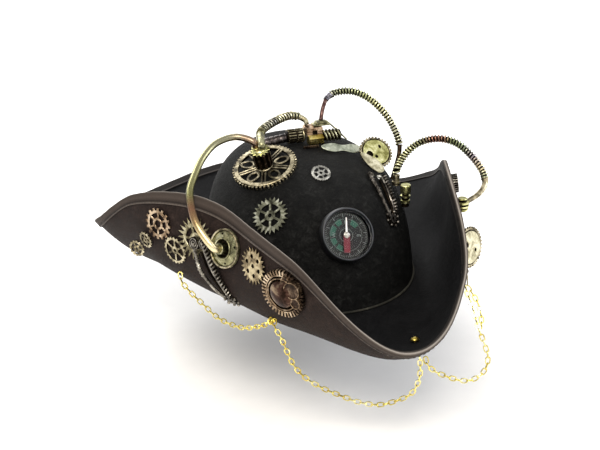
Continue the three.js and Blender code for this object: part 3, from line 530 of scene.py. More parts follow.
strip_map = add_node(binding_leather, "ShaderNodeTexCoord")
strip_axes = add_node(binding_leather, "ShaderNodeSeparateXYZ", links={"Vector": strip_map.outputs["UV"]})
rubbed_and_highlit = add_node(binding_leather, "ShaderNodeValToRGB", links={"Fac": strip_axes.outputs["Y"]}, stops=[
    (0.0, "#605851"), (0.025, "#4a423c"), (0.045, "#15110f"), (0.08, "#2f2824"), (0.13, "#3f3732"),
    (0.2, "#352e29"), (0.224, "#4a433d"), (0.24, "#928b83"), (0.254, "#2c2825"), (0.28, "#0f0e0d"),
    (0.43, "#0b0b0b"), (0.455, "#3d3936"), (0.48, "#121111")])
binding_shader = node_of(binding_leather, "BSDF_PRINCIPLED")
grain_colour = binding_shader.inputs["Base Color"].links[0].from_socket
worn_and_highlit = add_node(binding_leather, "ShaderNodeMix", {"data_type": "RGBA", "blend_type": "MIX", 0: 0.88},
                {6: grain_colour, 7: rubbed_and_highlit.outputs["Color"]})
plug(binding_leather, worn_and_highlit.outputs[2], binding_shader.inputs["Base Color"])
print("The binding is rubbed")

# %% [markdown]
# ## Where a solid lies
# New trimmings have to sit exactly on the solids that they stand for. A flat solid's place is read from
# its own mesh: the way that most of its surface faces is its axis, and its extent gives its middle.

# %% How a flat solid's place is read
def corners_of(node):
    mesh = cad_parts[node].data
    flat = np.empty(3 * len(mesh.vertices))
    mesh.vertices.foreach_get("co", flat)
    return flat.reshape(-1, 3)


def placed(across, up, away, middle):
    """A place with these three axes, and its middle in metres."""
    place = Matrix((across, up, away)).transposed().to_4x4()
    place.translation = middle
    return place


def plate_place(node):
    """The middle of a flat solid's back, in metres, and its axes, as one matrix."""
    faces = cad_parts[node].data.polygons
    largest = sorted(faces, key=lambda face: -face.area)[:12]
    area = {}
    for candidate in largest:
        alike = [face.area for face in faces if abs(face.normal.dot(candidate.normal)) > 0.999]
        area[candidate.index] = sum(alike)
    way = faces[max(area, key=area.get)].normal.copy()
    points = corners_of(node)
    if way.dot(Vector(points.mean(0)) - HAT_MIDDLE) < 0:
        way = -way
    up = (Vector((0, 0, 1)) - way * way.z).normalized()
    axes = [up.cross(way), up, way]
    low, high = [[reach(points @ np.array(axis)) for axis in axes] for reach in (np.min, np.max)]
    middle = axes[0] * (low[0] + high[0]) / 2 + axes[1] * (low[1] + high[1]) / 2 + axes[2] * low[2]
    return placed(*axes, middle)


def standing(at, facing=(0, 0, 1), turn=0.0):
    """A place given in mm, with the z axis along facing and a turn about it in degrees."""
    lean = Vector((0, 0, 1)).rotation_difference(Vector(facing)).to_matrix().to_4x4()
    return Matrix.Translation(Vector(at) * MM) @ lean @ Matrix.Rotation(math.radians(turn), 4, "Z")


print("The compass lies at", [round(value, 4) for value in plate_place("compass_case").translation])

# %% [markdown]
# ## Parts of a wheel
# Stamped wheels are made of a toothed ring, a hub and spokes. Each part is drawn flat in millimetres
# with circles joined by bridges, given its thickness by extrusion, and its edges are taken off with a
# small bevel, because a worn edge is what catches the light. The steep walls inside take a second,
# dark finish as painted shade. Then the parts are set into one piece.

# %% Drawing parts
def set_in(shape, part, place=Matrix(), finish=0):
    """Joins a part drawn in mm to a shape, at its place, and frees the part."""
    for face in part.faces:
        face.material_index += finish
    part.transform(place @ Matrix.Scale(MM, 4))
    mesh = bpy.data.meshes.new("part")
    part.to_mesh(mesh)
    shape.from_mesh(mesh)
    bpy.data.meshes.remove(mesh)
    part.free()


def soften(part, edge):
    """Recalculates the normals and takes off the edges sharper than 40 degrees."""
    bmesh.ops.recalc_face_normals(part, faces=part.faces)
    sharp = [line for line in part.edges if line.is_manifold
             and line.calc_face_angle(0) > math.radians(40)]
    bmesh.ops.bevel(part, geom=sharp, offset=edge, offset_type="OFFSET", segments=1, profile=0.5,
                    affect="EDGES", material=-1, clamp_overlap=True)
    return part


def shade_steep_walls(part, within):
    """Gives the second finish, a painted shade, to steep faces whose middle is less than within mm from the
    axis.
    """
    part.normal_update()
    for face in part.faces:
        if abs(face.normal.z) < 0.4 and face.calc_center_median().xy.length < within:
            face.material_index = 1
    return part


def thicken(part, height, edge):
    made = bmesh.ops.extrude_face_region(part, geom=part.faces[:])["geom"]
    moved = [corner for corner in made if isinstance(corner, bmesh.types.BMVert)]
    bmesh.ops.translate(part, verts=moved, vec=(0, 0, height))
    return soften(part, edge)


def toothed_ring(teeth, tip, root, inner, height, land=0.0, edge=0.25):
    """A ring with teeth outside. land is the flat share of a tooth's pitch, 0 for pointed teeth."""
    part = bmesh.new()
    corners = 4 if land else 2
    outside = bmesh.ops.create_circle(part, segments=corners * teeth, radius=tip)["verts"]
    bmesh.ops.create_circle(part, segments=corners * teeth, radius=inner)
    for number, corner in enumerate(outside):
        tooth, step = divmod(number, corners)
        share = (-1.35, -1, 1, 1.35)[step] * land / 2 if land else step / 2
        radius = (root, tip, tip, root)[step] if land else (tip, root)[step]
        turn = (tooth + share) * 2 * math.pi / teeth
        corner.co = Vector((math.cos(turn), math.sin(turn), 0)) * radius
    bmesh.ops.bridge_loops(part, edges=part.edges[:])
    return shade_steep_walls(thicken(part, height, edge), 0.1 * root + 0.9 * tip)


def plain_ring(outer, inner, height, edge=0.2, sides=40):
    part = bmesh.new()
    for radius in (outer, inner):
        bmesh.ops.create_circle(part, segments=sides, radius=radius)
    bmesh.ops.bridge_loops(part, edges=part.edges[:])
    return thicken(part, height, edge)


def pierced_disc(radius, height, holes, edge=0.2):
    """A disc with holes, each given as (x, y, radius, stretch): a stretch of 2 makes a short slot."""
    part = bmesh.new()
    bmesh.ops.create_circle(part, segments=56, radius=radius)
    for x, y, hole_radius, stretch in holes:
        hole = bmesh.ops.create_circle(part, segments=16, radius=hole_radius)["verts"]
        bmesh.ops.scale(part, verts=hole, vec=(1, stretch, 1))
        bmesh.ops.translate(part, verts=hole, vec=(x, y, 0))
    bmesh.ops.triangle_fill(part, use_beauty=True, use_dissolve=False, edges=part.edges[:])
    return shade_steep_walls(thicken(part, height, edge), radius - 2 * edge)


def block(start, end, edge=0.2):
    """A block between two corners, with softened edges."""
    part = bmesh.new()
    bmesh.ops.create_cube(part, size=1)
    bmesh.ops.scale(part, verts=part.verts, vec=[high - low for low, high in zip(start, end)])
    bmesh.ops.translate(part, verts=part.verts, vec=[(low + high) / 2 for low, high in zip(start, end)])
    return soften(part, edge)


def turned(profile, sides=40, dark=()):
    """A round part spun from a profile of (radius, height). dark lists spans of height that take the second
    finish, on most pieces a painted shade.
    """
    part = bmesh.new()
    corners = [bmesh.ops.create_vert(part, co=(radius, 0, height))["vert"][0] for radius, height in profile]
    lines = [part.edges.new(pair) for pair in zip(corners, corners[1:])]
    bmesh.ops.spin(part, geom=corners + lines, axis=(0, 0, 1), cent=(0, 0, 0), angle=2 * math.pi,
                   steps=sides, use_merge=True, use_duplicate=False)
    bmesh.ops.remove_doubles(part, verts=part.verts, dist=0.001)
    bmesh.ops.recalc_face_normals(part, faces=part.faces)
    for face in part.faces:
        middle = face.calc_center_median().z
        if any(low < middle < high for low, high in dark):
            face.material_index = 1
    return part


def spun(degrees):
    return Matrix.Rotation(math.radians(degrees), 4, "Z")


def shifted(x, y, z):
    return Matrix.Translation((x * MM, y * MM, z * MM))


def raised(height):
    return shifted(0, 0, height)


print("A toothed ring of 20 teeth has", len(toothed_ring(20, 10, 8, 6, 1).faces), "faces")

# %% [markdown]
# ## Flat wheels
# Seven stamped wheels are glued to the leather. A table gives each one's teeth, ring, hub, spokes and
# metal. The ring stands a little prouder than the spokes, and the hub a little prouder again.

# %% Flat wheels
rosy_brass = metal("rosy_stamped_brass", "#33271e", "#857059", "#c6b39a", 0.36)
grey_brass = metal("grey_tinned_brass", "#34332a", "#7b7b68", "#bfbfad", 0.36)
pale, silvered = metals["pale_brass"], metals["silvered_metal"]
# The rearmost small wheel is not glued flat: it leans out from the leather, towards the front.
# The one in front of it stands a little proud, on a bead of glue.
LEANING = {"gear_small_back": standing((-144.5, 10.9, 31.0), (-0.72, -0.69, -0.08)),
           "gear_small_front": plate_place("gear_small_front") @ raised(1.2)}
# node, metal, slot, teeth, tip, root, land, ring inside, spokes, spoke width, hub, bore, thickness, turn
FLAT_WHEELS = [
    ("gear_small_front", pale, "pale_brass", 14, 7.2, 6.4, 0.5, 5.0, 6, 1.3, 2.9, 1.0, 1.5, 10),
    ("gear_small_back", pale, "pale_brass", 14, 7.2, 6.4, 0.5, 5.0, 6, 1.3, 2.9, 1.0, 1.4, 40),
    ("gear_ring", rosy_brass, "copper", 16, 13.0, 11.0, 0.42, 8.8, 6, 1.7, 5.0, 3.0, 1.5, 0),
    ("gear_six_spoke", pale, "pale_brass", 20, 11.6, 10.7, 0.4, 9.0, 6, 1.5, 3.4, 1.4, 1.5, 0),
    ("gear_sunburst", metals["brass"], "brass", 22, 17.6, 11.0, 0.0, 9.0, 5, 2.0, 4.8, 1.6, 1.2, 8),
    ("gear_crown_tiny", silvered, "silvered_metal", 24, 8.0, 7.6, 0.5, 5.8, 6, 1.1, 3.0, 1.3, 1.3, 12),
    ("gear_crown_middle", grey_brass, "brass", 24, 15.6, 12.0, 0.0, 9.4, 6, 1.9, 4.4, 1.6, 1.5, 18),
]
for wheel in FLAT_WHEELS:
    node, finish, slot, teeth, tip, root, land, inside, spokes, width, hub, bore, height, turn = wheel
    place = LEANING.get(node, plate_place(node)) @ spun(turn)
    wheel_shape = bmesh.new()
    set_in(wheel_shape, toothed_ring(teeth, tip, root, inside, 0.9 * height, land, 0.18), place)
    set_in(wheel_shape, shade_steep_walls(plain_ring(inside + 0.7, inside, height, 0.15), inside + 0.2), place)
    set_in(wheel_shape, shade_steep_walls(plain_ring(hub, bore, height, 0.2, 24), hub - 0.3), place)
    for spoke in range(spokes):
        arm = block((hub - 0.3, -width / 2, 0), (inside + 0.3, width / 2, 0.75 * height), 0.18)
        set_in(wheel_shape, shade_steep_walls(arm, tip), place @ spun(360 * (spoke + 0.5) / spokes))
    make_piece(node + "_stamped", wheel_shape, [finish, painted_shade_metal], [node], crease=25)

# %% [markdown]
# The drilled wheel has sharp teeth and no spokes: six holes stand in a ring about the one for its shaft.

# %% Drilled wheel
DRILLED_HOLE, DRILLED_PITCH = 1.7, 7.6
drilled_place = plate_place("gear_drilled")
worn_bronze = metal("worn_pale_bronze", "#40372a", "#837459", "#bfb190", 0.36)
drilled_shape = bmesh.new()
set_in(drilled_shape, toothed_ring(22, 14.8, 10.9, 10.0, 1.3, 0.0, 0.18), drilled_place)
bores = []
for hole in range(6):
    turn = math.radians(60 * hole - 16)
    bores.append((DRILLED_PITCH * math.sin(turn), DRILLED_PITCH * math.cos(turn), DRILLED_HOLE, 1))
bores.append((0, 0, DRILLED_HOLE, 1))
set_in(drilled_shape, pierced_disc(10.3, 1.5, bores, 0.15), drilled_place)
make_piece("gear_drilled_stamped", drilled_shape, [worn_bronze, painted_shade_metal],
           ["gear_drilled"], crease=25)

# %% [markdown]
# ## Copper wheel
# This is a crown wheel: its teeth stand round a low flange. A thin bright ring and a domed copper cap
# lie in it, and over one side of the cap lies a dark rose of round petals with bright rims. On that side
# the teeth and the rose inside its rims take a dark bronze finish as painted shade.

# %% Copper wheel
copper_place = plate_place("copper_wheel")
copper_shape = bmesh.new()
# The wheel's far side takes the dark bronze finish: painted shade.
COPPER_TEETH, SHADED_SIDE = 38, 3
for teeth_ring in (toothed_ring(COPPER_TEETH, 19.4, 17.6, 14.4, 2.2, 0.45, 0.2),
                   toothed_ring(COPPER_TEETH, 19.2, 15.4, 14.6, 3.2, 0.4, 0.2)):
    for face in teeth_ring.faces:
        across, along, _ = face.calc_center_median()
        if across > 3 and along > -14:
            face.material_index = SHADED_SIDE
    set_in(copper_shape, teeth_ring, copper_place)
# The flange between the teeth and the ring takes the nearly black finish: painted shade in that groove.
set_in(copper_shape, turned([(0, 0), (14.5, 0), (14.5, 1), (0, 1)], 56), copper_place, 1)
set_in(copper_shape, plain_ring(13.3, 12.4, 4.2, 0.3, 56), copper_place)
dome = turned([(0, 0), (11.6, 0), (11.5, 2.6), (10.6, 4.2), (8.4, 5.6), (5, 6.4), (0, 6.8)], 56)
set_in(copper_shape, dome, copper_place, 2)
# Each petal's place across and along, its radius and its height.
for across, along, radius, height in ((3.8, 12.0, 4.0, 3.6), (10.4, 6.6, 7.2, 5.2), (12.6, -4.0, 4.6, 4.4)):
    rim = height + 0.6
    petal = turned([(0, height), (radius - 0.9, height), (radius - 0.8, rim), (radius - 0.2, rim),
                    (radius, 1), (0, 1)], 40)
    for face in petal.faces:
        face.material_index = SHADED_SIDE if face.calc_center_median().xy.length < radius - 0.88 else 0
    set_in(copper_shape, petal, copper_place @ shifted(across, along, 0))
make_piece("copper_crown_wheel", copper_shape, [rosy_brass, painted_shade_metal, metals["copper"], metals["bronze"]],
           ["copper_wheel"], crease=25)

# %% [markdown]
# ## The large wheel on the crown
# The large wheel is cast: fine teeth hang down round a smooth bright rim, and five double spokes run to
# the hub with an oval loop between each pair. The loops are rings squeezed to an oval before they are
# set in.

# %% Large wheel
SKIRT_DROP = 2.0
large_place = plate_place("gear_crown_large")
dim_brass = metal("dimmed_cast_brass", "#2c271c", "#6b6350", "#aca286", 0.38)
large_shape = bmesh.new()
set_in(large_shape, toothed_ring(50, 26.7, 24.6, 22.6, 1.2 + SKIRT_DROP, 0.45, 0.15),
       large_place @ raised(-SKIRT_DROP))
set_in(large_shape, shade_steep_walls(plain_ring(25.2, 21.6, 2.0, 0.4, 64), 22), large_place @ raised(0.1))
set_in(large_shape, shade_steep_walls(plain_ring(7.4, 2.0, 2.2, 0.4, 32), 7), large_place)
for spoke in range(5):
    for side in (-1.35, 1.35):
        arm = block((6.6, side - 0.6, 0), (22.2, side + 0.6, 1.8), 0.3)
        set_in(large_shape, arm, large_place @ spun(72 * spoke + 12), 2)
    # A low web between each spoke's two arms takes the nearly black finish: painted shade between them.
    web = block((6.6, -1.2, 0), (22.2, 1.2, 0.7), 0.1)
    set_in(large_shape, web, large_place @ spun(72 * spoke + 12), 1)
    loop = plain_ring(5.4, 3.5, 1.5, 0.3, 24)
    bmesh.ops.scale(loop, verts=loop.verts, vec=(1.25, 0.85, 1))
    bmesh.ops.translate(loop, verts=loop.verts, vec=(14.8, 0, 0))
    set_in(large_shape, loop, large_place @ spun(72 * spoke + 48), 2)
make_piece("large_cast_wheel", large_shape, [pale, painted_shade_metal, dim_brass],
           ["gear_crown_large"], crease=25)

# %% [markdown]
# ## Turned pieces
# Bosses, cups, caps and collars are turned on a lathe. Each is one profile spun about its axis, with
# many more sides than its solid has, and the grooves that the solid leaves out. Grooves take a dark painted
# shade.

# %% Boss, spool and cap
boss_place = plate_place("tube_boss")
boss_shape = bmesh.new()
boss_profile = [(0, 0), (15.5, 0), (15.5, 1.8), (15, 2.6), (14.2, 2.6), (13.9, 1.0), (13.5, 1.0), (13.3, 1.7),
                (8.8, 3.3), (8.8, 4.4), (8.2, 4.8), (7.5, 4.4), (7.3, 1.0), (4.4, 1.0), (4.4, 7.6), (4, 8),
                (0, 8)]
# The step at height 1 takes the nearly black second finish: painted shade in the groove.
set_in(boss_shape, turned(boss_profile, 48, [(0.95, 1.05)]), boss_place)
set_in(boss_shape, plain_ring(15.5, 14.3, 0.7, 0.25, 48), boss_place @ raised(2.2), 2)
for rivet in range(4):
    bolt = turned([(0, 0), (0.9, 0), (0.8, 0.6), (0, 0.9)], 10)
    set_in(boss_shape, bolt, boss_place @ spun(90 * rivet + 20) @ shifted(11.6, 0, 2.1), 1)
make_piece("stepped_boss", boss_shape, [metals["olive_brass"], painted_shade_metal, pale], ["tube_boss"])

SPOOL_HEIGHT = 14
spool_place = plate_place("spool")
spool_shape = bmesh.new()
set_in(spool_shape, toothed_ring(10, 7.5, 5.6, 1.0, SPOOL_HEIGHT, 0.4, 0.3), spool_place)
make_piece("ribbed_spool", spool_shape, [metals["bronze"], painted_shade_metal], ["spool"], crease=25)

cap_place = plate_place("spool_cap")
cap_shape = bmesh.new()
set_in(cap_shape, toothed_ring(14, 8.2, 6.0, 1.0, 1.2, 0.0, 0.2), cap_place)
set_in(cap_shape, turned([(0, 1.0), (6.0, 1.0), (5.4, 2.6), (4.6, 3.3), (0, 3.6)]), cap_place)
for side in (-3.5, 3.5):
    collar = turned([(0, 0), (3.5, 0), (3.5, 0.8), (3.0, 1.1), (0, 1.1)], 24)
    set_in(cap_shape, collar, cap_place @ shifted(side, 0, 2.6))
make_piece("pointed_cap", cap_shape, [metals["lime_brass"], painted_shade_metal], ["spool_cap"],
           crease=25)

# %% Cup, nozzle and terminal
# name, finish, slot, node, place, profile, dark spans of painted shade
TURNED = [
    ("hose_socket", "pale_brass", "gold_brass", "hose_cup", standing((66, -31, 74), (0.08, 0.1, 1)),
     [(0, 0), (3.6, 0), (3.6, 1), (3.2, 1.4), (3.6, 1.8), (3.6, 3), (2.9, 3.6), (2.9, 8.6), (2.6, 9),
      (0, 9)],
     [(1.1, 1.7)]),
    ("crown_nozzle", "lime_brass", "gold_brass", "crown_fitting", standing((71.9, -38, 57)),
     [(0, 0), (3.2, 0), (3.2, 3), (3.8, 3.2), (3.8, 5.6), (3.2, 5.9), (3.2, 8.2), (4.2, 8.4), (4.2, 9.6),
      (3, 9.9), (3, 11.6), (4.3, 11.9), (4.5, 14), (4.3, 18.4), (3.8, 19), (0, 19)],
     [(-1, 3.05), (6, 8.3), (9.8, 11.8)]),
    ("flap_terminal", "lime_brass", "brass", "hose_terminal", standing((100.3, -87.5, 68)),
     [(0, 0), (3.6, 0), (3.6, 0.8), (4.8, 1), (4.8, 2), (3.6, 2.2), (3.6, 3.4), (5.4, 3.6), (5.4, 5),
      (3.6, 5.2), (3.6, 6.6), (5.6, 6.8), (5.6, 8.2), (4, 8.6), (4, 10.4), (3.4, 11), (0, 11)],
     [(-1, 0.9), (2.1, 3.5), (5.1, 6.7), (8.7, 10.3)]),
]
for name, finish, slot, node, place, profile, dark in TURNED:
    turned_shape = bmesh.new()
    set_in(turned_shape, turned(profile, 32, dark), place)
    make_piece(name, turned_shape, [metals[finish], painted_shade_metal], [node], crease=28)

# %% [markdown]
# ## Tubes and wound hoses
# The gooseneck hoses are steel strip wound in a tight spiral, so they show as bright ridges with dark
# gaps. A bump could fake that, but the ridges make the outline, so the wire is really wound: a thin tube
# follows a spiral round the hose's own curve, over a dark core. The curve goes smoothly through a few
# points, and a ring of points is carried along it without twisting.

# %% Curves and tubes
FINE_STEPS = 24


def smooth_route(points, count):
    """Evenly spaced places on a smooth curve through points given in mm."""
    knots = [Vector(point) for point in points]
    knots = [2 * knots[0] - knots[1]] + knots + [2 * knots[-1] - knots[-2]]
    dense = []
    for start in range(1, len(knots) - 2):
        before, here, there, after = knots[start - 1:start + 3]
        steps = ((before, here), (here, there), (there, after))
        first, gap, last = [max(1e-4, (far - near).length ** 0.5) for near, far in steps]
        leave = (here - before) / first - (there - before) / (first + gap) + (there - here) / gap
        arrive = (there - here) / gap - (after - here) / (gap + last) + (after - there) / last
        for step in range(FINE_STEPS):
            dense.append(eased(here, leave * gap, there, arrive * gap, step / FINE_STEPS))
    dense.append(knots[-2])
    dense = np.array(dense)
    lengths = np.concatenate([[0], np.cumsum(np.linalg.norm(np.diff(dense, axis=0), axis=1))])
    even = np.linspace(0, lengths[-1], count)
    return [Vector([np.interp(place, lengths, dense[:, axis]) for axis in range(3)]) for place in even]


def route_length(places):
    return sum((after - before).length for before, after in zip(places, places[1:]))


def axes_along(places):
    """Two axes across the route at each place, carried along it without a twist."""
    ways = [(places[min(i + 1, len(places) - 1)] - places[max(i - 1, 0)]).normalized()
            for i in range(len(places))]
    side = ways[0].orthogonal().normalized()
    axes = []
    for way in ways:
        side = (side - way * side.dot(way)).normalized()
        axes.append((side.copy(), way.cross(side)))
    return axes


def tube(places, radius, sides=12):
    """A closed tube through places in mm. radius is a number or one for each place."""
    part = bmesh.new()
    axes = axes_along(places)
    count = len(places)
    radii = radius if isinstance(radius, list) else [radius] * count

    def lay(u, v):
        row = round(v * (count + 1))
        place = min(max(row - 1, 0), count - 1)
        if row in (0, count + 1):
            return places[place]
        side, across = axes[place]
        turn = 2 * math.pi * u
        return places[place] + radii[place] * (side * math.cos(turn) + across * math.sin(turn))

    laid_grid(part, sides, count + 1, lay)
    return part


def winding(places, radius, pitch, per_turn=14):
    """The spiral that a wire of the given pitch follows round a route."""
    spiral = []
    axes = axes_along(places)
    marks = np.linspace(0, len(places) - 1, int(route_length(places) / pitch * per_turn))
    for number, mark in enumerate(marks):
        low = min(int(mark), len(places) - 2)
        share = mark - low
        side = axes[low][0].lerp(axes[low + 1][0], share)
        across = axes[low][1].lerp(axes[low + 1][1], share)
        turn = 2 * math.pi * number / per_turn
        spiral.append(places[low].lerp(places[low + 1], share)
                      + radius * (side * math.cos(turn) + across * math.sin(turn)))
    return spiral


sample_route = smooth_route([(0, 0, 0), (0, 0, 5), (0, 0, 10)], 9)
print("A spiral round 10 mm has", len(winding(sample_route, 2, 2)), "places")

# %% [markdown]
# ### Metal that changes along a tube
# Heat and handling have tinted the tubes, so their colour changes along them, and painted highlights
# brighten them where light falls along them. The grid that each tube is laid from leaves a UV map that
# runs from 0 at one end to 1 at the other. A ramp on that value holds the tints and the highlights, and
# noise breaks them up a little.

# %% Tinted metal
def tinted_and_highlit_metal(name, tints_and_highlights, roughness):
    """Metal with tints and painted highlights along its UV map, given as (place, colour)."""
    material = metal(name, tints_and_highlights[0][1], tints_and_highlights[0][1], tints_and_highlights[0][1], roughness, 14.0, 0.01)
    shader, noise = node_of(material, "BSDF_PRINCIPLED"), node_of(material, "TEX_NOISE")
    along = add_node(material, "ShaderNodeTexCoord")
    axes = add_node(material, "ShaderNodeSeparateXYZ", links={"Vector": along.outputs["UV"]})
    wander = add_node(material, "ShaderNodeMath", {"operation": "MULTIPLY_ADD", 1: 0.06},
                      {0: noise.outputs["Fac"], 2: axes.outputs["Y"]})
    tint_and_highlight = add_node(material, "ShaderNodeValToRGB", links={"Fac": wander.outputs["Value"]}, stops=tints_and_highlights)
    plug(material, tint_and_highlight.outputs["Color"], shader.inputs["Base Color"])
    return material


# In these ramps the palest stops are painted highlights and the others are the tubes' tints.
drawn_brass = tinted_and_highlit_metal("drawn_brass_tube", [
    (0.0, "#8a6a5a"), (0.1, "#8f7c68"), (0.22, "#8d8a72"), (0.45, "#94906a"), (0.66, "#7d7a50"),
    (0.76, "#7c5a44"), (0.84, "#98805a"), (0.92, "#c9b98a"), (1.0, "#e0d5ae")], 0.3)
left_wire = tinted_and_highlit_metal("left_hose_wire", [
    (0.0, "#59562f"), (0.2, "#77735a"), (0.36, "#b4b19c"), (0.5, "#8f8c86"), (0.64, "#bdb999"),
    (0.82, "#d2ccb0"), (1.0, "#8d8a6c")], 0.3)
tall_wire = tinted_and_highlit_metal("tall_hose_wire", [
    (0.0, "#7d7d68"), (0.22, "#8d9070"), (0.4, "#aeb083"), (0.6, "#e4e0ae"), (0.8, "#dcd9bb"),
    (1.0, "#a8a489")], 0.3)
short_wire = tinted_and_highlit_metal("short_hose_wire", [
    (0.0, "#dcd8b4"), (0.2, "#dcd9a8"), (0.36, "#8f906f"), (0.46, "#7b584a"), (0.54, "#866656"),
    (0.6, "#6f7553"), (0.72, "#858c6f"), (0.82, "#8f8489"), (0.92, "#d8c9a6"), (1.0, "#96997c")], 0.3)
print("Four tinted metals are mixed")

# %% [markdown]
# ### The brass tube and the three hoses
# The brass tube is drawn tube, bright where light falls along it. Each hose has its own wire.

# %% Brass tube
TUBE_ROUTE = [(-49.6, -13.2, 116), (-50.8, -14.1, 119.7), (-63, -5.5, 123), (-80, -7, 120.5),
              (-93.5, -16, 114), (-105.5, -31, 105.5), (-114.4, -46.2, 98), (-117.5, -60.5, 90.5),
              (-118, -72, 84), (-115, -81, 76), (-107.6, -88.9, 65.6), (-105, -87.6, 64.8)]
tube_shape = bmesh.new()
set_in(tube_shape, tube(smooth_route(TUBE_ROUTE, 90), 2.9, 20))
make_piece("drawn_brass_tube", tube_shape, [drawn_brass], ["brass_tube"])

# %% Wound hoses
LEFT_HOSE_ROUTE = [(-45.5, -18.8, 116), (-46.3, -19.5, 118.8), (-40, 1, 122.5), (-29, 11, 124.3),
                   (-16.5, 20, 124.8), (-6, 25, 124.5), (2, 25.2, 122), (6, 22.8, 119.4), (6.8, 21.6, 116.3)]
TALL_HOSE_ROUTE = [(18.4, 19, 120.1), (19.5, 20.5, 124), (22.5, 24, 130), (28, 29, 135.5), (36, 30, 138.5),
                   (48, 24, 140), (58, 15, 136.5), (66, 5, 129), (72, -4, 119), (75, -14, 106), (74, -18, 97),
                   (70, -20.5, 86), (66.3, -21.5, 75.5)]
SHORT_HOSE_ROUTE = [(66.8, -30, 83.7), (67, -29.7, 86.6), (72, -26, 92), (80.4, -23.5, 100), (90, -26, 107),
                    (103, -34, 111), (114, -44, 109), (121, -54, 102.5), (125.5, -64, 95), (127, -70.5, 89),
                    (125, -76.5, 83), (118, -81, 78), (105, -86, 74.4)]
hose_core = metal("shadow_between_the_turns", "#050403", "#080705", "#0d0b08", 0.7)
# name, route, outside radius, wire radius, pitch, start and end of the wound stretch, wire, node
HOSES = [
    ("left_hose_winding", LEFT_HOSE_ROUTE, 3.8, 0.72, 3.0, 0.2, 0.88, left_wire, "hose_left"),
    ("tall_hose_winding", TALL_HOSE_ROUTE, 3.4, 0.72, 2.6, 0.18, 0.79, tall_wire, "hose_tall"),
    ("short_hose_winding", SHORT_HOSE_ROUTE, 3.4, 0.72, 2.6, 0.0, 0.79, short_wire, "hose_short"),
]
ROUTE_PLACES = 200


def stretch_of(route, start, end):
    """The places of a route from one share of its length to another."""
    last = ROUTE_PLACES - 1
    return smooth_route(route, ROUTE_PLACES)[round(last * start):round(last * end) + 1]


for name, route, radius, wire_radius, pitch, start, end, wire, node in HOSES:
    wound = stretch_of(route, start, end)
    hose_shape = bmesh.new()
    set_in(hose_shape, tube(wound[2:-2:3], radius - 1.6 * wire_radius, 12), finish=1)
    set_in(hose_shape, tube(winding(wound, radius - wire_radius, pitch), wire_radius, 6))
    make_piece(name, hose_shape, [wire, hose_core], [node])

# %% [markdown]
# Smooth sleeves and pipes finish each hose: a copper pipe and a grey sleeve before the tall one, a dark
# tail after it, and tapered ends after the others.

# %% Hose ends
smoked_sleeve = metal("smoked_steel_sleeve", "#3d3b3e", "#6b6970", "#a3a1a8", 0.3, 9.0)
tail_lacquer = metal("dark_lacquered_tail", "#1d1610", "#33271d", "#57432f", 0.35)
brown_pipe = metal("browned_copper_pipe", "#2a1d1b", "#4a3531", "#6e5750", 0.4)
# name, route, start, end, radius at the start, radius at the end, material, slot, nodes
HOSE_ENDS = [
    ("tall_hose_pipe", TALL_HOSE_ROUTE, 0.0, 0.135, 1.7, 1.7, brown_pipe, "copper", ["hose_tall_pipe"]),
    ("tall_hose_sleeve", TALL_HOSE_ROUTE, 0.13, 0.19, 2.3, 3.1, smoked_sleeve, "silvered_metal", []),
    ("tall_hose_tail", TALL_HOSE_ROUTE, 0.785, 1.0, 2.0, 1.5, tail_lacquer, "bronze", ["hose_tall_tail"]),
    ("short_hose_collar", SHORT_HOSE_ROUTE, 0.775, 0.81, 3.0, 2.4, pale, "silvered_metal", []),
    ("short_hose_end", SHORT_HOSE_ROUTE, 0.785, 1.0, 2.5, 2.0, pale, "brass", ["hose_short_end"]),
    ("left_hose_start", LEFT_HOSE_ROUTE, 0.0, 0.21, 2.8, 3.6, metals["olive_brass"], "silvered_metal", []),
    ("left_hose_end", LEFT_HOSE_ROUTE, 0.875, 1.0, 2.6, 2.0, metals["brass"], "silvered_metal",
     ["hose_left_end"]),
]
for name, route, start, end, first, last, finish, slot, nodes in HOSE_ENDS:
    stretch = stretch_of(route, start, end)
    radii = [first + (last - first) * step / (len(stretch) - 1) for step in range(len(stretch))]
    end_shape = bmesh.new()
    set_in(end_shape, tube(stretch, radii, 16))
    make_piece(name, end_shape, [finish], nodes)

# %% [markdown]
# ## Valve
# Across the top of the crown lies a small valve: a smoked pipe runs into a knurled collar, then come a
# copper-coloured body over a bright nut, a plate that the tall hose stands on, and a dark worm between
# slanted washers. Along its front lies a short rack.

# %% Valve
smoked_pipe = metal("smoked_bronze_pipe", "#262221", "#4b4543", "#827a76", 0.34, 9.0)
ALONG_X = Matrix.Rotation(math.radians(90), 4, "Y")
PIPE_PLACES = 25
pipe_places = smooth_route([(-33, 21, 104.6), (-12.6, 20, 107.4)], PIPE_PLACES)
pipe_radii = [3.6 if place % 5 == 3 else 3.9 for place in range(PIPE_PLACES)]
pipe_shape = bmesh.new()
set_in(pipe_shape, tube(pipe_places, pipe_radii, 24))
make_piece("valve_smoked_pipe", pipe_shape, [smoked_pipe], ["valve_pipe"], crease=20)

COLLAR_AT = (-11.9, 20, 108.3)
collar_shape = bmesh.new()
collar_place = shifted(*COLLAR_AT) @ ALONG_X
collar_core = turned([(0, 0), (4.6, 0), (5, 1), (5, 14.6), (4.6, 15.6), (0, 15.6)], 32)
# The core, seen between and beside the knurled rings, takes the nearly black finish: painted shade.
set_in(collar_shape, collar_core, collar_place, 1)
for start, length in ((1.0, 6.4), (8.6, 4.4)):
    set_in(collar_shape, toothed_ring(16, 6.0, 5.1, 3, length, 0.45, 0.25), collar_place @ raised(start))
set_in(collar_shape, turned([(0, 13.4), (5.9, 13.4), (6.1, 14), (5.9, 14.6), (0, 14.6)], 32), collar_place)
make_piece("valve_knurled_collar", collar_shape, [metals["brass"], painted_shade_metal], ["valve_collar"],
           crease=25)

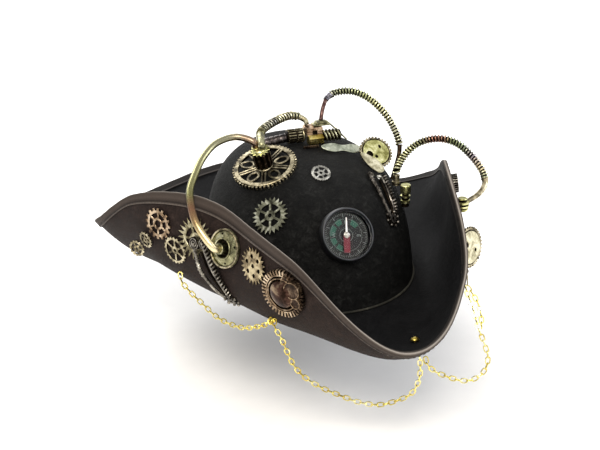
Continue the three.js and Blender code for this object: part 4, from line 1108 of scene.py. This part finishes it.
nut_shape = bmesh.new()
nut = bmesh.new()
bmesh.ops.create_cone(nut, cap_ends=True, segments=6, radius1=4.7, radius2=4.7, depth=13)
set_in(nut_shape, soften(nut, 0.35), shifted(11.5, 13.5, 105.2) @ ALONG_X @ spun(30))
make_piece("valve_bright_nut", nut_shape, [metals["gold_brass"]], ["valve_nut"], crease=25)

body_shape = bmesh.new()
for start, end in (((4, 13, 108.6), (18, 25, 111.3)), ((4.6, 13.8, 111), (17.4, 24.4, 112.4)),
                   ((4, 13, 112.2), (18, 25, 115.5))):
    set_in(body_shape, block(start, end, 0.4))
# A thin plate on the front in the nearly black finish stands for the shade in a slot: painted shade.
set_in(body_shape, block((9, 12.7, 110), (13, 13.2, 113.4), 0.1), finish=1)
beige_copper = metal("beige_copper", "#6a5240", "#b29679", "#e3ccb0", 0.34)
make_piece("valve_body", body_shape, [beige_copper, painted_shade_metal], ["valve_block"], crease=25)

top_shape = bmesh.new()
set_in(top_shape, block((10.6, 14.6, 115.8), (25.4, 22.4, 117.4), 0.6))
set_in(top_shape, block((13, 15.6, 117.2), (23.4, 21.6, 119.3), 0.7))
set_in(top_shape, turned([(0, 0), (3.2, 0), (3.2, 0.6), (2.6, 0.9), (0, 0.9)], 24), shifted(18.4, 19, 118.9))
thin_rod = [Vector((23, 19, 118.6)), Vector((31, 17, 111)), Vector((39.5, 14, 101.8))]
set_in(top_shape, tube(thin_rod, 0.7, 8))
make_piece("valve_top_plate", top_shape, [metals["olive_brass"]], ["top_plate"], crease=25)

WORM_AT, WASHERS = (18.4, 14, 107.5), 5
worm_shape = bmesh.new()
# The worm's core between the washers takes the nearly black finish: painted shade.
set_in(worm_shape, turned([(0, 0), (4.2, 0), (4.2, 14.6), (3.2, 15.2), (0, 15.2)], 24),
       shifted(*WORM_AT) @ ALONG_X, 1)
for washer in range(WASHERS):
    disc = turned([(0, -0.5), (5.3, -0.5), (5.6, 0), (5.3, 0.5), (0, 0.5)], 32)
    set_in(worm_shape, disc, standing((WORM_AT[0] + 1.6 + 3 * washer, *WORM_AT[1:]), (1, 0, 0.32)))
make_piece("valve_worm_washers", worm_shape, [metals["olive_brass"], painted_shade_metal], ["valve_worm"])

RACK_TEETH, RACK_PITCH = 7, 1.95
rack_shape = bmesh.new()
set_in(rack_shape, block((-2.6, 3.4, 102.1), (11, 5.4, 103.6), 0.2))
for tooth in range(RACK_TEETH):
    start = -2.2 + RACK_PITCH * tooth
    set_in(rack_shape, block((start, 2, 102.3), (start + 1, 3.8, 104.4), 0.2))
make_piece("valve_rack", rack_shape, [metals["bronze"]], [])

# %% [markdown]
# ## Disc, plate and leaf on top
# A toothed disc leans behind two lobed plates. The disc is stamped with a groove inside its teeth and
# pierced by an off-centre hole, a small one and a slot. The plates are cast, so their outlines are soft:
# a circle is drawn out to a leaf or pinched to two lobes before it is given its thickness.

# %% Discs
def toothed_disc(name, node, offset, lean, teeth, tip, root, groove, holes, face_metal):
    """A disc with a groove inside its teeth painted dark as shade, and holes in its face, leaning by a few
    degrees.
    """
    place = plate_place(node) @ offset @ Matrix.Rotation(math.radians(lean), 4, "Y")
    shape = bmesh.new()
    set_in(shape, toothed_ring(teeth, tip, root, groove, 1.5, 0.45, 0.18), place)
    set_in(shape, turned([(0, 0), (groove + 0.2, 0), (groove + 0.2, 0.7), (0, 0.7)]), place, 1)
    set_in(shape, pierced_disc(groove - 0.9, 2.0, holes, 0.25), place, 2)
    x, y, radius, _ = holes[0]
    set_in(shape, plain_ring(radius + 0.9, radius, 0.5, 0.15, 24), place @ shifted(x, y, 1.8), 2)
    make_piece(name, shape, [pale, painted_shade_metal, face_metal, painted_shade_metal], [node], crease=25)


cream_brass = metal("cream_plated_brass", "#7d775f", "#b5ae90", "#dfd9bd", 0.34)
toothed_disc("crown_toothed_disc", "crown_disc", shifted(2, -1, 0), 0, 30, 14.4, 13.2, 12.1,
             [(-6.2, -1.2, 3.0, 1), (-0.8, -4.0, 1.4, 1), (4.6, 4.2, 1.1, 1.6)], metals["lime_brass"])
toothed_disc("side_toothed_disc", "side_disc", raised(2.2), -11, 34, 17.0, 15.6, 14.4,
             [(6.0, -4.0, 1.6, 1), (-2.9, 3.3, 1.1, 2.4)], cream_brass)

# %% Lobed plates
def lobed_plate(length, half_width, pinch, fullness, height):
    """A plate along x: pinch draws in its middle, fullness makes its +x end the broader one."""
    part = bmesh.new()
    for corner in bmesh.ops.create_circle(part, cap_ends=True, segments=48, radius=1)["verts"]:
        along, across = corner.co.xy
        width = half_width * (1 - pinch * math.cos(math.pi * along) ** 2 * (abs(along) < 0.5))
        corner.co = (length / 2 * along, across * width * (1 + fullness * along), 0)
    return thicken(part, height, 0.45)


pewter_plate = metal("greenish_pewter_plate", "#7f8474", "#b4b9a6", "#dcdecd", 0.36)
leaf_shape = bmesh.new()
set_in(leaf_shape, lobed_plate(24.5, 4.6, 0, 0.3, 1.5), plate_place("wing_leaf") @ spun(-54))
make_piece("cast_leaf", leaf_shape, [cream_brass], ["wing_leaf"])

wing_shape = bmesh.new()
set_in(wing_shape, lobed_plate(37, 5.2, 0.42, 0, 1.5), standing((28.2, -6.4, 102), (0.06, -0.5, 0.86), -8.5))
make_piece("cast_wing", wing_shape, [pewter_plate], ["wing_plate"])

# %% [markdown]
# ## Clock hands
# Two ornate clock hands lie over the leather. Each has a smooth rail and a notched one that run down to a
# cluster of small wheels and beads, and the left hand starts in two scrolls. Their places are read off
# the leather itself, as an angle, a share of the way up and a height.

# %% Places over the leather
def over_brim(angle, share, height):
    return brim_point(angle, share, -(LEATHER / 2 + height)) / MM


def in_brim(angle, share, height):
    return brim_point(angle, share, LEATHER / 2 + height) / MM


def over_crown(angle, climb, height):
    return crown_point(angle, climb, -height) / MM


def place_over(surface, angle, share, height):
    """A place off the leather: z points away from it and y up along it."""
    middle = surface(angle, share, height)
    away = (surface(angle, share, height + 1) - middle).normalized()
    up = surface(angle, share + 0.01, height) - middle
    up = (up - away * up.dot(away)).normalized()
    return placed(up.cross(away), up, away, middle * MM)


SCROLL_STEPS = 18


def scroll(turns, outside, wire):
    """A flat spiral of wire, laid round z, that starts at a quarter of its outside radius."""
    steps = SCROLL_STEPS * turns
    spiral = []
    for step in range(steps + 1):
        turn = 2 * math.pi * step / SCROLL_STEPS
        reach = outside * (0.25 + 0.75 * step / steps)
        spiral.append(Vector((math.cos(turn), math.sin(turn), 0)) * reach)
    return tube(spiral, wire, 8)


print("The brim's outside at the boss lies at", [round(value, 1) for value in over_brim(-49, 0.82, 0)])

# %% Clock hands
grey_rail = metal("grey_rail_metal", "#3d3a34", "#77726a", "#b4afa2", 0.34)
brown_rail = metal("brown_rail_metal", "#272421", "#524d47", "#a39d93", 0.36)
HAND_PLACES = 60
# name, metal, slot, surface, smooth rail, notched rail, scrolls, scroll size, cluster, node
HANDS = [
    ("left_hand", grey_rail, "bronze", over_brim,
     [(-62.8, 0.77, 5.5), (-61.2, 0.685, 5), (-59.9, 0.587, 4.2), (-57.7, 0.506, 3), (-55.5, 0.425, 2.2),
      (-51.6, 0.356, 2)],
     [(-58.4, 0.79, 5.5), (-55.7, 0.72, 5), (-53.4, 0.649, 4.2), (-51.7, 0.579, 3), (-49.9, 0.504, 2.2),
      (-48.5, 0.418, 2)],
     [(-62.6, 0.77, 5.4), (-58.4, 0.79, 5.4)], 5.0, (-48.9, 0.35), "clock_hand_left"),
    ("right_hand", brown_rail, "silvered_metal", over_crown,
     [(36, 0.6, 2), (33, 0.504, 2), (31.6, 0.426, 2), (31.2, 0.353, 2), (31.8, 0.3, 2)],
     [(51, 0.51, 2), (45.6, 0.435, 2), (42.4, 0.379, 2), (40.6, 0.326, 2), (37, 0.28, 2)],
     [(38, 0.59, 1.4)], 2.6, (33.4, 0.28), "clock_hand_right"),
]
for name, rail, slot, surface, smooth, notched, scrolls, scroll_size, cluster, node in HANDS:
    hand_shape = bmesh.new()
    inner, outer = [smooth_route([surface(*stop) for stop in stops], HAND_PLACES)
                    for stops in (smooth, notched)]
    between = [one * 0.45 + other * 0.55 for one, other in zip(inner, outer)]
    # The tube between the rails, the notched rail's core under its wound wire, the backing behind each scroll
    # and the disc under the cluster take the nearly black finish: painted shade.
    set_in(hand_shape, tube(between[8:], 1.1, 10), finish=1)
    set_in(hand_shape, tube(inner, 1.4, 10))
    set_in(hand_shape, tube(winding(inner[4:32], 1.5, 2.9, 10), 0.55, 6))
    set_in(hand_shape, tube(outer, 1.2, 10), finish=1)
    set_in(hand_shape, tube([one * 0.2 + other * 0.8 for one, other in zip(inner, outer)], 0.8, 8))
    set_in(hand_shape, tube(winding(outer, 1.6, 2.9, 10), 0.7, 6))
    for angle, share, height in scrolls:
        scroll_place = place_over(surface, angle, share, height)
        backing = turned([(0, 0), (scroll_size, 0), (scroll_size, 0.3), (0, 0.3)], 24)
        set_in(hand_shape, scroll(2, scroll_size, 0.5), scroll_place)
        set_in(hand_shape, backing, scroll_place, 1)
    hub = place_over(surface, *cluster, 0.6)
    set_in(hand_shape, turned([(0, 0), (6.4, 0), (6.2, 0.7), (0, 0.9)], 32), hub, 1)
    set_in(hand_shape, toothed_ring(10, 4.0, 3.0, 1.4, 2.0, 0.4, 0.2), hub)
    for bead in range(8):
        ball = bmesh.new()
        bmesh.ops.create_icosphere(ball, subdivisions=2, radius=1.25 + 0.25 * (bead % 2))
        set_in(hand_shape, ball, hub @ spun(45 * bead) @ shifted(6.2, 0, 1.2))
    make_piece(name, hand_shape, [rail, painted_shade_metal], [node], crease=30)

# %% Ball rivet by the leaf
ball_shape = bmesh.new()
set_in(ball_shape, turned([(0, 0), (2.2, 0), (2.2, 0.5), (1.7, 0.8), (1.7, 1.4), (1.2, 2.3), (0, 2.7)], 24),
       place_over(over_crown, 45.4, 0.53, 0.2))
make_piece("ball_rivet", ball_shape, [silvered])

# %% [markdown]
# ## Ribbed knob
# A ribbed knob is fixed to the flap over the wearer's left ear. Its ribs run from the leather to a round
# cap with a raised rim.

# %% Ribbed knob
knob_place = plate_place("ribbed_knob") @ raised(-0.9)
knob_shape = bmesh.new()
set_in(knob_shape, toothed_ring(26, 8.0, 7.0, 3.0, 6.4, 0.45, 0.2), knob_place @ raised(0.3))
knob_cap = turned([(0, 5.6), (6.4, 5.6), (6.2, 6.8), (5.2, 7.0), (4.4, 6.4), (0, 6.2)], 32)
set_in(knob_shape, knob_cap, knob_place)
make_piece("ribbed_flap_knob", knob_shape, [grey_rail, painted_shade_metal], ["ribbed_knob"], crease=25)

# %% [markdown]
# ## Chains
# Each chain is made of plain oval links, every other one turned a quarter about the chain's line, so
# that each passes through the next. One link is a thin ring of wire drawn out to an oval. The links are
# set along the same curves as the solids, a pitch apart, and joined into one piece for each chain.

# %% One ring of wire
def wire_ring(length, width, wire):
    """An oval ring of wire in mm, with its length along z and its width along x."""
    part = bmesh.new()
    straight = (length - width) / 2
    ring = (width - wire) / 2

    def lay(u, v):
        round_turn, wire_turn = 2 * math.pi * u, 2 * math.pi * v
        out = ring + wire / 2 * math.cos(wire_turn)
        shift = straight if math.sin(round_turn) > 0 else -straight
        if abs(math.sin(round_turn)) < 1e-6:
            shift = 0
        return Vector((out * math.cos(round_turn), wire / 2 * math.sin(wire_turn),
                       out * math.sin(round_turn) + shift))

    laid_grid(part, 16, 6, lay)
    return part


# %% Chains
LINK_LENGTH, LINK_WIDTH, LINK_WIRE = 6.6, 4.4, 1.0
LINK_PITCH, MEASURED_PLACES = LINK_LENGTH - 2 * LINK_WIRE, 400
CHAIN_ROUTES = {
    "chain_left": [
        (-121.4, -34.4, 24.6), (-121.2, -38, 18.4), (-116.4, -44.6, 11.4), (-108.8, -56.4, 3.8),
        (-102, -69, -2), (-96, -80, -3.5), (-88, -94, -2.5), (-80.5, -107.5, 3.5), (-76.3, -116.1, 8.9),
        (-73.8, -118.3, 12.8)],
    "chain_front": [
        (-72.1, -124.6, 16.6), (-72.5, -126, 11), (-68.5, -127, 3), (-63, -128.5, -12), (-58, -130.5, -24),
        (-49, -133, -35), (-37, -137.5, -43.5), (-23, -142.5, -50.5), (-10, -147, -56), (5, -152, -58.5),
        (18, -157, -54.5), (28, -160, -49), (33, -162.4, -38), (33.9, -163.4, -27), (33, -163.2, -14)],
    "chain_right": [
        (38.1, -163.6, -16.6), (38.3, -165.6, -21), (43, -167, -27), (54, -171, -33), (68, -175, -37),
        (78, -175, -35.5), (85, -173, -31), (88.5, -170, -23), (87.5, -164, -12.5), (85.5, -158, -3.5),
        (85, -151.4, 5), (84.8, -142.8, 14), (84, -137.6, 18.9), (83.5, -134.4, 25)],
}
# The right chain is doubled at its loop.
DOUBLED = [(84.5, -135, 24), (88.5, -138, 18), (91, -144, 11), (90.5, -151, 4), (88, -157, -3)]
# A bunch of open rings holds the left chain and the front one at the copper wheel.
JUMP_AT, JUMP_FACING = (-72.6, -121.6, 14.6), (-0.5, -0.8, 0.3)
FLAT_FACING = Vector((-0.3, -0.9, 0.3)).normalized()
chain_gold = metal("gold_plated_chain", "#c4ab48", "#ead974", "#fdf3b4", 0.2, 14.0, 0.01)


def lay_links(shape, route):
    """Sets links along a route, a pitch apart, and returns how many there are."""
    count = round(route_length(smooth_route(route, MEASURED_PLACES)) / LINK_PITCH)
    stops = smooth_route(route, 2 * count + 1)
    for number in range(count):
        way = (stops[2 * number + 2] - stops[2 * number]).normalized()
        thin = (FLAT_FACING - way * FLAT_FACING.dot(way)).normalized()
        if number % 2:
            thin = way.cross(thin)
        set_in(shape, wire_ring(LINK_LENGTH, LINK_WIDTH, LINK_WIRE),
               placed(thin.cross(way), thin, way, stops[2 * number + 1] * MM))
    return count


for name, route in CHAIN_ROUTES.items():
    chain_shape = bmesh.new()
    print(name, "has", lay_links(chain_shape, route), "links")
    if name == "chain_right":
        lay_links(chain_shape, DOUBLED)
    if name == "chain_front":
        for slant in range(5):
            aside = shifted(0.6 * slant - 1.2, 0.5 * slant - 1, 0)
            jump_place = standing(JUMP_AT, JUMP_FACING, 36 * slant) @ aside
            set_in(chain_shape, wire_ring(6.4, 5, 1.1), jump_place @ Matrix.Rotation(0.5 * slant, 4, "X"))
    make_piece(name + "_links", chain_shape, [chain_gold], [name])

# %% [markdown]
# ## Loop and rivet
# The flap over the wearer's left ear carries the wire loop that the right chain hangs from. A rivet with a
# slotted dome goes through the brim at the front, and the other two ends hang from the eye below it.

# %% Wire loop
UPRIGHT = Matrix.Rotation(math.radians(90), 4, "X")
loop_place = place_over(over_brim, 31, 0.895, 0.5)
loop_shape = bmesh.new()
loop_foot = turned([(0, 0), (3.6, 0), (3.4, 1.2), (2.4, 1.6), (2.4, 3), (1.6, 3.8), (0, 4)], 24)
set_in(loop_shape, loop_foot, loop_place)
for slant in (-5, 6):
    set_in(loop_shape, wire_ring(15, 7, 1.1), loop_place @ spun(slant) @ shifted(0, -7, 2.4 + slant / 10)
           @ Matrix.Rotation(math.radians(-17), 4, "X") @ UPRIGHT)
make_piece("wire_loop", loop_shape, [metals["brass"]], ["chain_loop"])

# %% Front rivet
rivet_place = place_over(in_brim, 10.5, 0.57, 1.4)
rivet_shape = bmesh.new()
rivet_dome = turned([(0, 0), (3.7, 0), (3.7, 0.5), (3.3, 1.3), (2.4, 2.2), (1.3, 2.8), (0, 3)], 32)
set_in(rivet_shape, rivet_dome, rivet_place)
# The slot across the dome is a bar in the nearly black finish: painted shade.
set_in(rivet_shape, block((-2.2, -0.35, 1.8), (2.2, 0.35, 3.02), 0.05), rivet_place, 1)
set_in(rivet_shape, turned([(0, -7), (1.3, -7), (1.3, 0.4), (0, 0.4)], 16), rivet_place)
set_in(rivet_shape, wire_ring(6.2, 6.2, 1.4), rivet_place @ raised(-9))
make_piece("slotted_rivet", rivet_shape, [metals["gold_brass"], painted_shade_metal],
           ["front_rivet"], crease=50)

# %% [markdown]
# ## Compass
# The compass is a moulded black case with a clear window. Its dial is a printed card with a ring of
# ticks, longer at each quarter, and painted green patches that glow in the dark. The needle is steel:
# a narrow white half that points up here and a broad red half. It swings on its pin, so it rides on its
# own body.

# %% Compass case and dial
compass_place = plate_place("compass_case")
case_shape = bmesh.new()
set_in(case_shape, turned([(0, 0), (22, 0), (22, 5.8), (21.6, 6.6), (20.9, 8.2), (20.4, 8.5), (20.1, 8.3),
                           (20, 7.4), (19.6, 5.7), (19, 5.7), (19, 1.5), (0, 1.5)], 72, [(8.25, 8.6)]),
       compass_place)
# The top of the rim takes a lighter grey: a painted highlight.
case_rim_highlight = moulded("grey_case_rim_highlight", "#33363a", 0.45)
make_piece("compass_cup", case_shape, [case_plastic, case_rim_highlight], ["compass_case"])

dial_shape = bmesh.new()
set_in(dial_shape, turned([(0, 1.8), (18.6, 1.8), (18.6, 2.6), (0.7, 2.6), (0.5, 3.3), (0, 3.3)], 64),
       compass_place)
DIAL_TOP, NEEDLE_LEAN = 2.6, 9
for tick in range(72):
    start, half_width = (14.6, 0.26) if tick % 6 == 0 else (16.2, 0.14)
    mark = block((start, -half_width, DIAL_TOP - 0.1), (17.6, half_width, DIAL_TOP + 0.12), 0.03)
    set_in(dial_shape, mark, compass_place @ spun(5 * tick), 1)
set_in(dial_shape, plain_ring(13.1, 12.9, 0.12, 0.03, 64), compass_place @ raised(DIAL_TOP), 1)
set_in(dial_shape, plain_ring(5.5, 5.2, 0.12, 0.03, 48), compass_place @ raised(DIAL_TOP), 1)
for start, end in ((30, 62), (98, 124), (136, 176), (184, 212), (222, 244)):
    patch = bmesh.new()
    for radius in (9.2, 13.6):
        bmesh.ops.create_circle(patch, segments=72, radius=radius)
    bmesh.ops.bridge_loops(patch, edges=patch.edges[:])
    far = [face for face in patch.faces
           if not start < math.degrees(math.atan2(*face.calc_center_median().yx)) % 360 < end]
    bmesh.ops.delete(patch, geom=far, context="FACES")
    set_in(dial_shape, thicken(patch, 0.1, 0.02), compass_place @ raised(DIAL_TOP), 2)
make_piece("compass_card", dial_shape, [dial_card, tick_ink, green_ink], ["compass_dial"])

# %% [markdown]
# The compass points are plain letters, made as text, turned into a mesh and laid on the card.

# %% Letters on the dial
letters_shape = bmesh.new()
for letter, turn in (("N", 0), ("E", -90), ("S", 180), ("W", 90)):
    words = bpy.data.curves.new("letter", "FONT")
    words.body = letter
    words.size = 4.4
    words.extrude = 0.06
    words.align_x, words.align_y = "CENTER", "CENTER"
    words.resolution_u = 3
    draft = bpy.data.objects.new("letter", words)
    bpy.context.collection.objects.link(draft)
    bpy.context.view_layer.update()
    lettering = bmesh.new()
    lettering.from_mesh(draft.evaluated_get(bpy.context.evaluated_depsgraph_get()).to_mesh())
    bpy.data.objects.remove(draft)
    bpy.data.curves.remove(words)
    bmesh.ops.remove_doubles(lettering, verts=lettering.verts, dist=1e-4)
    bmesh.ops.translate(lettering, verts=lettering.verts, vec=(0, 10.2, 0))
    set_in(letters_shape, lettering, compass_place @ raised(DIAL_TOP + 0.08) @ spun(turn - NEEDLE_LEAN))
make_piece("compass_letters", letters_shape, [tick_ink])

# %% Compass window and needle
window_shape = bmesh.new()
window_disc = turned([(0, 6), (19.6, 6), (19.6, 6.7), (14, 7.2), (7, 7.4), (0, 7.5)], 64)
set_in(window_shape, window_disc, compass_place)
make_piece("compass_window", window_shape, [lens_plastic], ["compass_lens"])

NEEDLE_BASE, NEEDLE_HEIGHT, NEEDLE_HALF = 3.6, 0.5, 14
needle_shape = bmesh.new()
for direction, width, taper, finish in ((1, 0.8, 0.5, 0), (-1, 2.7, 0.05, 1)):
    half = block((-width, 0, 0), (width, NEEDLE_HALF, NEEDLE_HEIGHT), 0.05)
    for corner in half.verts:
        corner.co.x *= 1 - taper * corner.co.y / NEEDLE_HALF
        corner.co.y *= direction
    bmesh.ops.recalc_face_normals(half, faces=half.faces)
    set_in(needle_shape, half, compass_place @ raised(NEEDLE_BASE) @ spun(-NEEDLE_LEAN), finish)
set_in(needle_shape, turned([(0, 0.3), (2.6, 0.3), (2.4, 1.0), (1, 1.5), (0, 1.6)], 24),
       compass_place @ raised(NEEDLE_BASE), 2)
make_piece("compass_needle_painted", needle_shape, [white_paint, red_paint, silvered],
           ["compass_needle"], body="compass_needle")

# %% [markdown]
# ## Stitches
# The binding is sewn through with waxed thread just inside its inner edges. Each stitch is a short rod
# with rounded ends, five sides round, and one part holds all that show on the brim's outside.

# %% Stitches
STITCHES, STITCH_SHARE = 280, 0.952
stitch_shape = bmesh.new()
for stitch in range(STITCHES):
    angle = 360 * stitch / STITCHES
    ends = [over_brim(angle + step, STITCH_SHARE, BINDING_OUTER - LEATHER / 2 + rise)
            for step, rise in ((-0.42, -0.3), (-0.2, 0.12), (0.2, 0.12), (0.42, -0.3))]
    set_in(stitch_shape, tube(ends, 0.3, 5))
make_piece("binding_stitches", stitch_shape, [thread])

# %% [markdown]
# ## Finish
# Every solid now has its finer piece. The last line lists the solids that are still shown.

# %% Solids still shown
print("Solids still shown:", [name for name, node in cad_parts.items() if not node.hide_render])
